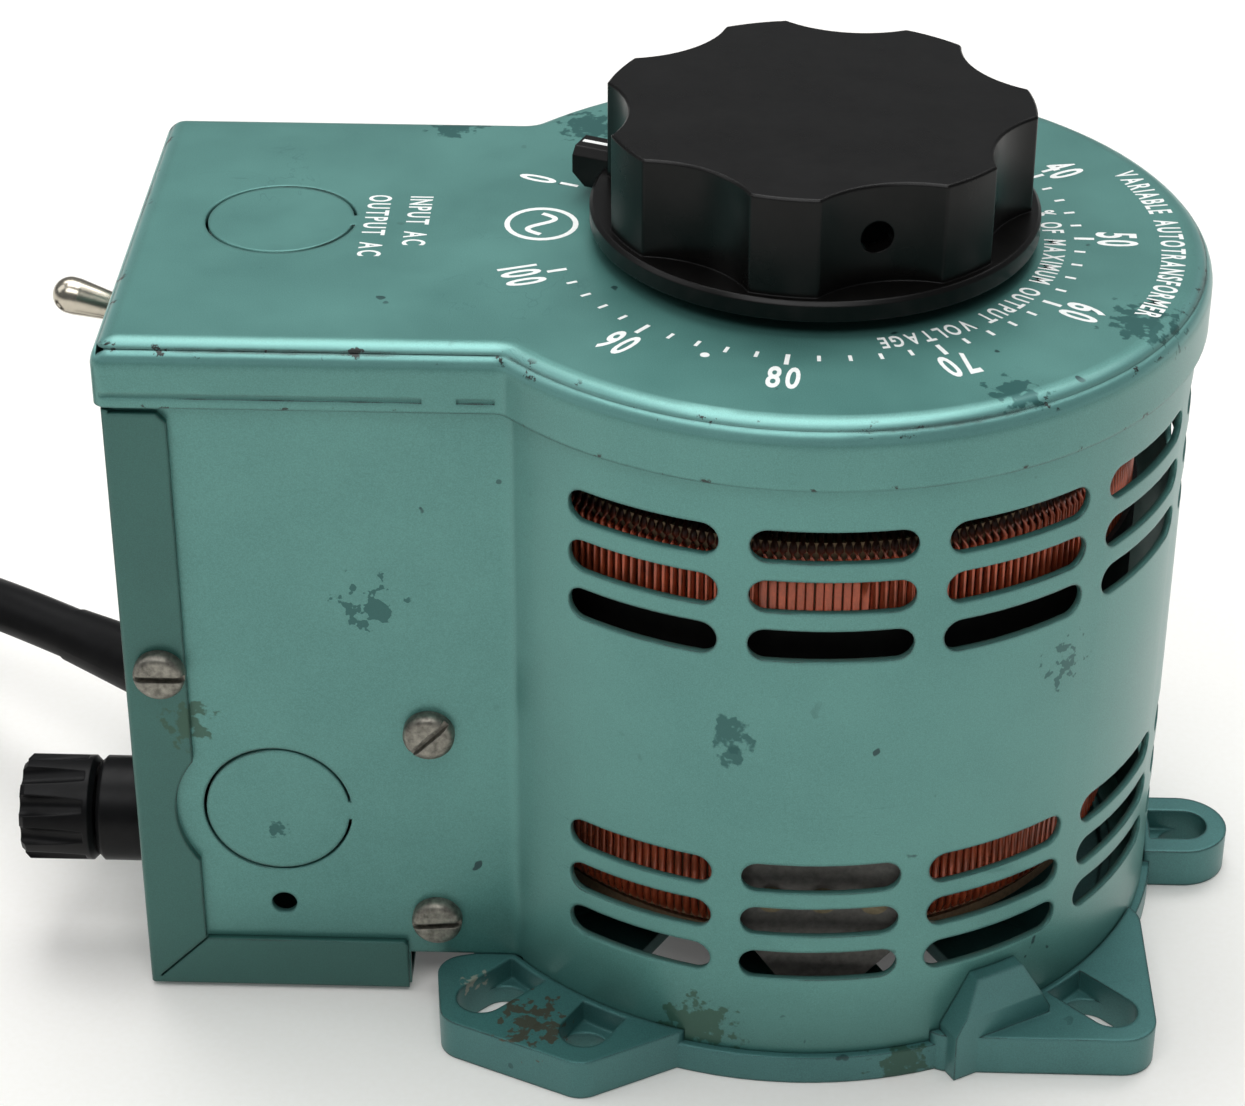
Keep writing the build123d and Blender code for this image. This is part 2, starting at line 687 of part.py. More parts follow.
def pointer_block():
    """Index on the knob's skirt: bevelled along its top and cut back at its lower front."""
    low, high = POINTER_Z
    shoulder = high - (POINTER_HALF - POINTER_TOP_HALF)
    section = make_face(Polyline(
        (-POINTER_HALF, low), (POINTER_HALF, low), (POINTER_HALF, shoulder), (POINTER_TOP_HALF, high),
        (-POINTER_TOP_HALF, high), (-POINTER_HALF, shoulder), close=True,
    ))
    face = Plane(origin=(POINTER_R, 0, 0), x_dir=(0, 1, 0), z_dir=(1, 0, 0))
    pointer = extrude(face * section, -14.5)
    lower_front = Pos(POINTER_R, 0, low) * Rot(0, 45, 0) * Box(3.2, 20, 3.2)
    return pointer - lower_front - disc(KNOB_FLANGE_R - 1, low - 1, FLANGE_Z[0])


def knob():
    """Moulded phenolic knob with a skirt and a pointer block."""
    body = prism(knob_plan(), KNOB_BOTTOM, KNOB_TOP)
    upright = [e for e in body.edges().filter_by(Axis.Z) if e.length > 10]
    body = fillet(upright, 0.8)
    crown = body.edges().group_by(Axis.Z)[-1]
    body = chamfer(crown, 0.35)
    skirt = disc(KNOB_FLANGE_R, *FLANGE_Z)
    skirt = chamfer(skirt.edges().group_by(Axis.Z)[-1], 0.6)
    pointer = pointer_block()
    hollow = tube(33.0, 13.0, FLANGE_Z[0] - 1, 147.6) & prism(knob_plan(3.2), 120, 147.6)
    piece = body + skirt + pointer - hollow
    piece -= disc(KNOB_INSERT_R, FLANGE_Z[0] - 1, 147.0)
    piece -= radial_hole(SET_SCREW_ANGLE - REST_ANGLE, SET_SCREW_Z, 2.7, 60)
    return spin(REST_ANGLE) * piece


def knob_insert():
    """Brass insert moulded into the knob."""
    insert = tube(KNOB_INSERT_R, SHAFT_R, FLANGE_Z[0] + 0.5, 147.0)
    return insert - radial_hole(SET_SCREW_ANGLE, SET_SCREW_Z, 2.0, 20)


def knob_set_screw():
    seat = radial_plane(SET_SCREW_ANGLE, SET_SCREW_Z, SHAFT_R + 0.05)
    screw = extrude(seat * Circle(2.0), 9.5)
    hollow = radial_plane(SET_SCREW_ANGLE, SET_SCREW_Z, SHAFT_R + 6.5)
    return screw - extrude(hollow * RegularPolygon(1.2, 6), 10)


# ---------------------------------------------------------------- toggle switch
def toggle_body():
    """Switch block with its two screw terminals, behind the panel."""
    inner_x = PANEL_X + SHEET
    body = block(inner_x + 0.6, inner_x + 19.0, TOGGLE_Y - 13.5, TOGGLE_Y + 13.5, TOGGLE_Z - 9.5,
            TOGGLE_Z + 9.5)
    body = fillet(body.edges().filter_by(Axis.X), 1.5)
    for side in (-1, 1):
        body += block(inner_x + 19.0, inner_x + 25.0, TOGGLE_Y + side * 8 - 2.5, TOGGLE_Y + side * 8 + 2.5,
                      TOGGLE_Z - 0.5, TOGGLE_Z + 0.5)
    return body - lever_room()


def lever_room():
    """Space in the bushing and body for the lever's swing."""
    ball = Pos(TOGGLE_PIVOT, TOGGLE_Y, TOGGLE_Z) * Sphere(4.3)
    mouth = Pos(TOGGLE_PIVOT - 5.5, TOGGLE_Y, TOGGLE_Z) * Rot(0, -90, 0) * Cone(3.4, 5.85, 13)
    return ball + mouth


def toggle_bushing():
    """Threaded nickel bushing with a flange inside the panel."""
    bush = rod_x(TOGGLE_BUSH_R, PANEL_X - 6.6, PANEL_X + SHEET + 0.6, TOGGLE_Y, TOGGLE_Z)
    bush = chamfer(bush.edges().sort_by(Axis.X)[0], 0.4)
    bush += rod_x(8.0, PANEL_X + SHEET, PANEL_X + SHEET + 0.6, TOGGLE_Y, TOGGLE_Z)
    return bush - lever_room()


def toggle_nut():
    return Pos(PANEL_X - 2.2, TOGGLE_Y, TOGGLE_Z) * Rot(0, 90, 0) * hex_nut(14.2, TOGGLE_BUSH_R, 2.2)


def toggle_lever():
    """Bat handle: thin neck at the pivot, round bulb at the tip."""
    profile = make_face(Polyline(
        (0, 0), (1.9, 0), (1.9, 5.0), (BAT_R, BAT_LENGTH - BAT_R - 1.0), (BAT_R, BAT_LENGTH - BAT_R),
        (0, BAT_LENGTH - BAT_R), close=True,
    ))
    stem = revolve(Plane.XZ * profile, Axis.Z)
    bat = stem + Pos(0, 0, BAT_LENGTH - BAT_R) * Sphere(BAT_R) + Sphere(3.2)
    return Pos(TOGGLE_PIVOT, TOGGLE_Y, TOGGLE_Z) * Rot(0, -90 + TOGGLE_TILT, 0) * bat


# ---------------------------------------------------------------- fuse holder
def fuse_body():
    """Holder tube through the panel with its outside collar."""
    collar = rod_x(FUSE_R, PANEL_X - 9.4, PANEL_X, FUSE_Y, FUSE_Z)
    collar = chamfer(collar.edges().sort_by(Axis.X)[0], 0.8)
    barrel = rod_x(BARREL_R, PANEL_X, PANEL_X + 34, FUSE_Y, FUSE_Z)
    holder = collar + barrel
    return holder - rod_x(5.6, PANEL_X - 20, PANEL_X + 32, FUSE_Y, FUSE_Z)


def fuse_nut():
    return Pos(PANEL_X + SHEET, FUSE_Y, FUSE_Z) * Rot(0, 90, 0) * hex_nut(16.0, BARREL_R, 2.6)


def fuse_contacts():
    """Side terminal ring and end terminal of the holder."""
    ring = rod_x(7.4, PANEL_X + 20, PANEL_X + 21, FUSE_Y, FUSE_Z) - rod_x(BARREL_R, -130, -50, FUSE_Y, FUSE_Z)
    ring += block(PANEL_X + 20, PANEL_X + 21, FUSE_Y - 2, FUSE_Y + 2, FUSE_Z + 7.0, FUSE_Z + 14)
    end = rod_x(3.0, PANEL_X + 34, PANEL_X + 35, FUSE_Y, FUSE_Z)
    end += block(PANEL_X + 34, PANEL_X + 42, FUSE_Y - 2, FUSE_Y + 2, FUSE_Z - 0.4, FUSE_Z + 0.4)
    return together([ring, end])


def fuse_cap():
    """Fluted bayonet knob."""
    x_in = PANEL_X - 9.9
    x_out = PANEL_X - 22.8
    cap = rod_x(FUSE_R, x_out, x_in, FUSE_Y, FUSE_Z)
    cap = chamfer(cap.edges().filter_by(GeomType.CIRCLE), 0.9)
    groove = Pos(x_out + 2.0, 0, FUSE_R + 0.35) * Rot(0, 90 - 7, 0) * Cylinder(FLUTE_R, 18)
    for i in range(FLUTES):
        cap -= Pos(0, FUSE_Y, FUSE_Z) * Rot(360.0 / FLUTES * (i + 0.5), 0, 0) * groove
    plug = rod_x(5.5, x_in, x_in + 9.5, FUSE_Y, FUSE_Z)
    cap += plug
    return cap - rod_x(3.5, x_in + 3.0, x_in + 30, FUSE_Y, FUSE_Z)


def fuse_link():
    """Glass tube fuse with two metal end caps, as one cartridge."""
    x0 = PANEL_X - 6.8
    glass = rod_x(2.9, x0 + 3, x0 + 29, FUSE_Y, FUSE_Z)
    for start in (x0, x0 + 25.4):
        glass += rod_x(3.15, start, start + 6.3, FUSE_Y, FUSE_Z)
    return glass


# ---------------------------------------------------------------- outlet
def outlet_face():
    """Round-faced three-pole outlet with its body behind the panel."""
    inner_x = PANEL_X + SHEET
    face = rod_x(OUTLET_FACE_R, PANEL_X - 2.4, inner_x, OUTLET_Y, OUTLET_Z)
    face = fillet(face.edges().sort_by(Axis.X)[0], 1.0)
    body = block(inner_x, inner_x + 22, OUTLET_Y - 14, OUTLET_Y + 14, OUTLET_Z - 17, OUTLET_Z + 17)
    outlet = face + body
    for y, half in ((6.35, 3.6), (-6.35, 4.4)):
        slot = block(PANEL_X - 5, inner_x + 16, OUTLET_Y + y - 1.1, OUTLET_Y + y + 1.1,
                     OUTLET_Z + 3 - half, OUTLET_Z + 3 + half)
        outlet -= slot
    outlet -= rod_x(2.7, PANEL_X - 5, inner_x + 16, OUTLET_Y, OUTLET_Z - 8.9)
    return outlet


def outlet_strap():
    """Steel mounting strap with two ears, behind the panel."""
    inner_x = PANEL_X + SHEET
    strap = block(inner_x, inner_x + 1.2, OUTLET_Y - 26, OUTLET_Y + 26, OUTLET_Z - 6, OUTLET_Z + 6)
    strap -= block(inner_x - 1, inner_x + 3, OUTLET_Y - 14, OUTLET_Y + 14, OUTLET_Z - 10, OUTLET_Z + 10)
    for side in (-1, 1):
        strap -= rod_x(1.5, inner_x - 2, inner_x + 4, OUTLET_Y + side * OUTLET_SCREW_Y, OUTLET_Z)
    return strap


def outlet_screws():
    screws = []
    for side in (-1, 1):
        place = Plane(origin=(PANEL_X, OUTLET_Y + side * OUTLET_SCREW_Y, OUTLET_Z), x_dir=(0, 1, 0),
                z_dir=(-1, 0, 0))
        screws.append(place * slotted_screw(3.2, 1.9, 1.48, 6.0, 90))
    return together(screws)


def outlet_contacts():
    """Screw plates on the sides of the outlet's body."""
    plates = []
    inner_x = PANEL_X + SHEET
    for side in (-1, 1):
        y_in = OUTLET_Y + side * 14
        low, high = sorted((y_in, y_in + side * 1.2))
        plates.append(block(inner_x + 6, inner_x + 18, low, high, OUTLET_Z - 6, OUTLET_Z + 6))
    return together(plates)


# ---------------------------------------------------------------- wiring inside the box
def loom_wire(points):
    """One insulated lead: straight runs with tangent bends."""
    path = FilletPolyline(*points, radius=5.0)
    section = Plane(origin=path @ 0, z_dir=path % 0) * Circle(LEAD_R)
    return sweep(section, path=path)


def hookup_wires():
    """Leads between the mains lead, switch, fuse, outlet and coil."""
    back = PANEL_X + SHEET
    lead_to_switch = [(back + 12, 30, 20), (back + 30, 30, 20), (back + 30, 30, 100), (back + 30, 12, 103.5)]
    switch_to_fuse = [(back + 36, -2, 100), (back + 36, -34, 90), (back + 36, -34, 40), (back + 36, -28, 34)]
    outlet_to_brush = [
        (back + 27, OUTLET_Y - 22, 64), (back + 42, OUTLET_Y - 22, 64), (back + 42, 0,
                80), (back + 54, 0, 80),
    ]
    outlet_to_coil = [
        (back + 27, OUTLET_Y + 22, 60), (back + 44, OUTLET_Y + 22, 60), (back + 44, 8,
                45), (back + 54, 8, 45),
    ]
    routes = (lead_to_switch, switch_to_fuse, outlet_to_brush, outlet_to_coil)
    return together([loom_wire(route) for route in routes])


# ---------------------------------------------------------------- mains lead
def exit_direction():
    return Vector(-cos(radians(EXIT_YAW)), sin(radians(EXIT_YAW)), 0)


def relief_end():
    return Vector(*EXIT) + exit_direction() * RELIEF_LENGTH


def strain_relief():
    """Tapered sleeve that leaves the panel at a slant, with a collar on each side."""
    along = Plane(origin=Vector(*EXIT), z_dir=exit_direction())
    sleeve = along * Pos(0, 0, RELIEF_LENGTH / 2) * Cone(*RELIEF_R, RELIEF_LENGTH)
    sleeve += rod_x(10.2, PANEL_X - 3.2, PANEL_X, EXIT[1], EXIT[2])
    sleeve -= block(PANEL_X, PANEL_X + 30, -60, 60, 0, 100)
    sleeve += rod_x(7.4, PANEL_X, PANEL_X + SHEET, EXIT[1], EXIT[2])
    sleeve += rod_x(9.8, PANEL_X + SHEET, PANEL_X + SHEET + 3, EXIT[1], EXIT[2])
    return sleeve


CORD_ROUTE = [
    tuple(relief_end()),
    tuple(relief_end() + exit_direction() * 17.0),
    (-161.3, 35.6, 31.4),
    (-173.9, 50.6, 21.4),
    (-188.5, 63.7, 11.4),
    (-202.9, 73.4, 6.4),
]


def bend_radii(points):
    """Radius at each inner point: 0.45 of its shorter run over the tangent of half its turn."""
    radii = []
    for before, here, after in zip(points, points[1:], points[2:]):
        arrive = Vector(*here) - Vector(*before)
        leave = Vector(*after) - Vector(*here)
        shorter = min(arrive.length, leave.length)
        half_turn = radians(arrive.get_angle(leave)) / 2
        radii.append(0.45 * shorter / tan(half_turn))
    return radii


def cord_tube(points):
    radii = bend_radii(points)
    print("bend radii", [round(r, 1) for r in radii])
    path = FilletPolyline(*points, radius=radii)
    section = Plane(origin=path @ 0, z_dir=path % 0) * Circle(CORD_R)
    solid = sweep(section, path=path)
    expected = pi * CORD_R**2 * path.length
    print("cord length", round(path.length, 1), "volume ratio", round(solid.volume / expected, 4))
    return solid


def power_cord():
    return cord_tube(CORD_ROUTE)


def tail_point(angle, z):
    """A point on the lead's last bend, which swings inwards over the coil to the plug."""
    x, y, _ = polar(TAIL_SWING_R, angle)
    return (PLUG_AXIS_X + TAIL_SWING_R + x, PLUG_START + y, z)


def cord_tail():
    """End of the lead, climbing from the coil to the plug."""
    heights = ((116, 15.0), (134, 21.0), (153, 27.6), (172, PLUG_Z))
    points = [tail_point(*place) for place in heights]
    return cord_tube(points + [(PLUG_AXIS_X, PLUG_START - 10.0, PLUG_Z)]) - plug_body()


def cord_coil():
    """Outer shape of the coiled lead."""
    ring = tube(COIL_MID_R + COIL_HALF, COIL_MID_R - COIL_HALF, 0, COIL_STACK)
    ring = fillet(ring.edges(), 4.0)
    return Pos(COIL_CENTRE[0], COIL_CENTRE[1], 0) * ring


def plug_body():
    """Moulded three-pin plug with a tapered neck."""
    y1 = PLUG_START - 14.0
    y0 = PLUG_START - PLUG_LENGTH
    body = block(PLUG_AXIS_X - 12, PLUG_AXIS_X + 12, y0, y1, PLUG_Z - PLUG_HALF, PLUG_Z + PLUG_HALF)
    body = fillet(body.edges().filter_by(Axis.Y), 5.0)
    body = fillet(body.edges().group_by(Axis.Y)[-1], 3.0)
    neck = Pos(PLUG_AXIS_X, PLUG_START - 8.5, PLUG_Z) * Rot(-90, 0, 0) * Cone(8.5, CORD_R + 0.9, 17)
    return body + neck


def plug_blades():
    y0 = PLUG_START - PLUG_LENGTH
    blades = []
    for side in (-1, 1):
        x = PLUG_AXIS_X + side * 6.35
        blade = block(x - 0.75, x + 0.75, y0 - 15.9, y0, PLUG_Z + 3 - 3.17, PLUG_Z + 3 + 3.17)
        blades.append(blade)
    pin = rod_y(2.38, y0 - 19.0, y0, PLUG_AXIS_X, PLUG_Z - 7.5)
    pin += Pos(PLUG_AXIS_X, y0 - 19.0, PLUG_Z - 7.5) * Sphere(2.38)
    blades.append(pin)
    return together(blades)


def cord_tie():
    """Wire tie round one side of the coil."""
    x, y = COIL_CENTRE
    half = COIL_HALF + 0.9
    middle = y - COIL_MID_R
    room = COIL_HALF + 0.05
    outer = block(x - 3, x + 3, middle - half, middle + half, 0, COIL_STACK + 0.9)
    return outer - block(x - 4, x + 4, middle - room, middle + room, -1, COIL_STACK + 0.05)


# ---------------------------------------------------------------- write
NODES = {
    "base_casting": base_casting,
    "base_screws": base_screws,
    "case_shell": case_shell,
    "top_cover": top_cover,
    "end_panel": end_panel,
    "panel_screws": panel_screws,
    "panel_nuts": panel_nuts,
    "upper_bushing": upper_bushing,
    "lower_bushing": lower_bushing,
    "thrust_washer": thrust_washer,
    "core": core,
    "core_cap_lower": lambda: core_cap(COIL_BOTTOM + WIRE, -1),
    "core_cap_upper": lambda: core_cap(COIL_TOP - WIRE, 1),
    "core_wrap": core_wrap,
    "winding": winding,
    "commutator_track": commutator_track,
    "insulation_band": insulation_band,
    "coil_seat": coil_seat,
    "coil_clamp": coil_clamp,
    "coil_bolts": coil_bolts,
    "stop_block": stop_block,
    "terminal_board": terminal_board,
    "terminal_lugs": terminal_lugs,
    "terminal_rivets": terminal_rivets,
    "shaft": shaft,
    "retaining_ring": retaining_ring,
    "brush_arm": brush_arm,
    "arm_set_screw": arm_set_screw,
    "arm_stop_pin": arm_stop_pin,
    "brush_holder": brush_holder,
    "carbon_brush": carbon_brush,
    "brush_spring": brush_spring,
    "knob": knob,
    "knob_insert": knob_insert,
    "knob_set_screw": knob_set_screw,
    "toggle_body": toggle_body,
    "toggle_bushing": toggle_bushing,
    "toggle_nut": toggle_nut,
    "toggle_lever": toggle_lever,
    "fuse_body": fuse_body,
    "fuse_nut": fuse_nut,
    "fuse_contacts": fuse_contacts,
    "fuse_cap": fuse_cap,
    "fuse_link": fuse_link,
    "outlet_face": outlet_face,
    "outlet_strap": outlet_strap,
    "outlet_screws": outlet_screws,
    "outlet_contacts": outlet_contacts,
    "hookup_wires": hookup_wires,
    "strain_relief": strain_relief,
    "power_cord": power_cord,
    "cord_coil": cord_coil,
    "cord_tail": cord_tail,
    "cord_tie": cord_tie,
    "plug_body": plug_body,
    "plug_blades": plug_blades,
}

for node_name, make in NODES.items():
    save(make(), node_name)
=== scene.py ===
import json
import math
import random

import bmesh
import bpy
from mathutils import Matrix, Vector


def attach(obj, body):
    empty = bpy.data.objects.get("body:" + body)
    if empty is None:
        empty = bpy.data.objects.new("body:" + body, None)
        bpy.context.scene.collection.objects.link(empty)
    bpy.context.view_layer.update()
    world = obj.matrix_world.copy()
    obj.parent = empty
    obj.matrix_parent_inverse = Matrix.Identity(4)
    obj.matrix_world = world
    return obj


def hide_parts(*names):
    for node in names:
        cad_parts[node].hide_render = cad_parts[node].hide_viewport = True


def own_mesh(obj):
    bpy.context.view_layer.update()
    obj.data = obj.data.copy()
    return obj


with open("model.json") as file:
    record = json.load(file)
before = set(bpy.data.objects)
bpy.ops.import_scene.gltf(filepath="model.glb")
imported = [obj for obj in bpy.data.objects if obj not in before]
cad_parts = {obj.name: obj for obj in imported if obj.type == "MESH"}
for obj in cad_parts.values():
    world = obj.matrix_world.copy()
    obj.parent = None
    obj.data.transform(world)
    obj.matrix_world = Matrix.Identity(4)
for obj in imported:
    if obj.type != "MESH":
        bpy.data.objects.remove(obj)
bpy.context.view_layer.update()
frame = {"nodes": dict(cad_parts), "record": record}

MM = 0.001

# Places and sizes are in millimetres in the frame of the CAD model, and angles in degrees.
COVER_TOP = 127.7


# ---------------------------------------------------------------- camera
SENSOR_WIDTH = 36.0
FOCAL_LENGTH = 96.606
CAMERA_PLACE = (-16.52, -501.03, 374.78)
CAMERA_ANGLES = (-1.73, 31.774, 0.17)


def rotation_from(azimuth, elevation, roll):
    """Camera rotation looking along an azimuth from +Y towards +X, down by an elevation."""
    az, el, ro = (math.radians(a) for a in (azimuth, elevation, roll))
    forward = Vector((math.sin(az) * math.cos(el), math.cos(az) * math.cos(el), -math.sin(el)))
    level = Vector((math.cos(az), -math.sin(az), 0))
    rise = level.cross(forward)
    right = math.cos(ro) * level + math.sin(ro) * rise
    up = -math.sin(ro) * level + math.cos(ro) * rise
    return Matrix((right, up, -forward)).transposed().to_4x4()


def make_camera():
    data = bpy.data.cameras.new("camera")
    data.sensor_fit = "HORIZONTAL"
    data.sensor_width = SENSOR_WIDTH
    data.lens = FOCAL_LENGTH
    data.clip_start = 0.01
    data.clip_end = 50.0
    camera = bpy.data.objects.new("camera", data)
    bpy.context.collection.objects.link(camera)
    place = Matrix.Translation(Vector(CAMERA_PLACE) * MM)
    camera.matrix_world = place @ rotation_from(*CAMERA_ANGLES)
    bpy.context.scene.camera = camera


def polar(radius, angle):
    return (radius * math.cos(math.radians(angle)), radius * math.sin(math.radians(angle)))


# ---------------------------------------------------------------- mains lead
CORD_R = 4.75
# Route of the lead, as in the CAD model, from the end of its strain relief.
CORD_ROUTE = [
    (-133.13, 12.87, 36.2),
    (-147.39, 22.13, 36.2),
    (-161.3, 35.6, 31.4),
    (-173.9, 50.6, 21.4),
    (-188.5, 63.7, 11.4),
    (-202.9, 73.4, 6.4),
]
COIL_CENTRE = (-247.3, 30.3)
# Radius and height of each turn of the coil, and the last share of a turn, in which it changes lane.
LANES = ((59.5, 4.75), (50.0, 4.75), (40.5, 4.75), (45.25, 13.0), (54.75, 13.0), (54.75, 13.0))
LANE_CHANGE = 0.2
POINTS_PER_TURN = 24
FIRST_ANGLE = 60.0
COILED_ANGLE = 5 * 360.0 + 38.0
PLUG_AXIS_X = -293.3
PLUG_START = 30.3
PLUG_Z = 30.4
INSIDE_PLUG = 10.0
TAIL_SWING_R = 55.0
TAIL_HEIGHTS = ((116, 15.0), (134, 21.0), (153, 27.6), (172, PLUG_Z))


def coil_points():
    """Turns of the put-away lead: three on the floor from the outside in, then two on top of them."""
    points = []
    step = 360.0 / POINTS_PER_TURN
    for i in range(int(COILED_ANGLE / step) + 1):
        turn, part = divmod(i, POINTS_PER_TURN)
        shift = min(1.0, max(0.0, (part / POINTS_PER_TURN - 1 + LANE_CHANGE) / LANE_CHANGE))
        here, following = LANES[turn], LANES[min(turn + 1, len(LANES) - 1)]
        radius, height = (a + (b - a) * shift for a, b in zip(here, following))
        x, y = polar(radius, FIRST_ANGLE + i * step)
        points.append((COIL_CENTRE[0] + x, COIL_CENTRE[1] + y, height))
    return points


def tail_points():
    """The lead's last bend, which swings inwards over the coil to the plug."""
    points = []
    for angle, height in TAIL_HEIGHTS:
        x, y = polar(TAIL_SWING_R, angle)
        points.append((PLUG_AXIS_X + TAIL_SWING_R + x, PLUG_START + y, height))
    points.append((PLUG_AXIS_X, PLUG_START - INSIDE_PLUG, PLUG_Z))
    return points


def make_cord(material):
    curve = bpy.data.curves.new("mains_lead", "CURVE")
    curve.dimensions = "3D"
    curve.bevel_depth = CORD_R * MM
    curve.bevel_resolution = 6
    curve.use_fill_caps = True
    curve.resolution_u = 6
    route = [Vector(p) * MM for p in (*CORD_ROUTE, *coil_points(), *tail_points())]
    spline = curve.splines.new("NURBS")
    spline.points.add(len(route) - 1)
    for point, place in zip(spline.points, route):
        point.co = (*place, 1)
    spline.order_u = 3
    spline.use_endpoint_u = True
    lead = bpy.data.objects.new("mains_lead", curve)
    bpy.context.collection.objects.link(lead)
    curve.materials.append(material)
    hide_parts("power_cord", "cord_coil", "cord_tail")
    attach(lead, "root")


# ---------------------------------------------------------------- light and floor
WORLD_STRENGTH = 0.55
# The sky's colour, by how far the view direction points to the back.
SKY = ((0.0, (0.26, 0.275, 0.29, 1)), (0.6, (0.40, 0.41, 0.42, 1)))
# Soft lights: name, place, target and size in metres, and power in watts.
LIGHTS = (
    ("key_front_above", (-0.15, -0.75, 1.25), (0, 0.05, 0), (1.1, 0.55), 7),
    ("left_fill", (-1.1, 0.0, 0.9), (0, 0, 0.05), (0.6, 0.9), 2.5),
    ("overhead", (0.0, 0.25, 1.5), (0, 0.05, 0), (1.0, 0.8), 12),
    ("back_wash", (0.0, 0.9, 1.6), (0, 0.7, 0), (2.4, 0.6), 14),
)
# The floor, in metres: it lies a hair below the object.
FLOOR_SIZE = 12
FLOOR_PLACE = (0, 2, -0.0002)
FLOOR_DARK = (0.86, 0.84, 0.80)
FLOOR_LIGHT = (0.90, 0.885, 0.86)
FLOOR_GLOW = (1.0, 0.99, 0.97)


def area_light(name, place, target, size, power):
    data = bpy.data.lights.new(name, "AREA")
    data.shape = "RECTANGLE"
    data.size, data.size_y = size
    data.energy = power
    lamp = bpy.data.objects.new(name, data)
    bpy.context.collection.objects.link(lamp)
    lamp.location = place
    aim = Vector(target) - Vector(place)
    lamp.rotation_euler = aim.to_track_quat("-Z", "Y").to_euler()


def make_lights():
    world = bpy.data.worlds.new("studio")
    bpy.context.scene.world = world
    world.use_nodes = True
    tree = world.node_tree
    background = tree.nodes["Background"]
    background.inputs["Strength"].default_value = WORLD_STRENGTH
    place = tree.nodes.new("ShaderNodeTexCoord")
    split = tree.nodes.new("ShaderNodeSeparateXYZ")
    ramp = tree.nodes.new("ShaderNodeValToRGB")
    tree.links.new(place.outputs["Generated"], split.inputs[0])
    tree.links.new(split.outputs["Y"], ramp.inputs["Fac"])
    tree.links.new(ramp.outputs["Color"], background.inputs["Color"])
    for element, (position, colour) in zip(ramp.color_ramp.elements, SKY):
        element.position = position
        element.color = colour
    for light in LIGHTS:
        area_light(*light)


def make_floor():
    bpy.ops.mesh.primitive_plane_add(size=FLOOR_SIZE, location=FLOOR_PLACE)
    floor = bpy.context.object
    floor.name = "floor"
    paint = Look("floor_cloth")
    grain = paint.noise(900, 3)
    paint.colour(paint.mix(grain, FLOOR_DARK, FLOOR_LIGHT))
    paint.set("Roughness", 0.9)
    paint.set("Specular IOR Level", 0.1)
    paint.set("Emission Color", FLOOR_GLOW)
    paint.set("Emission Strength", 0.08)
    floor.data.materials.append(paint.material)


# ---------------------------------------------------------------- material building
# How fine a stain's outline is, and from what share of its radius it fades.
OUTLINE_SCALE = 480.0
OUTLINE_FADE = 0.72
EDGE_SAMPLES = 6


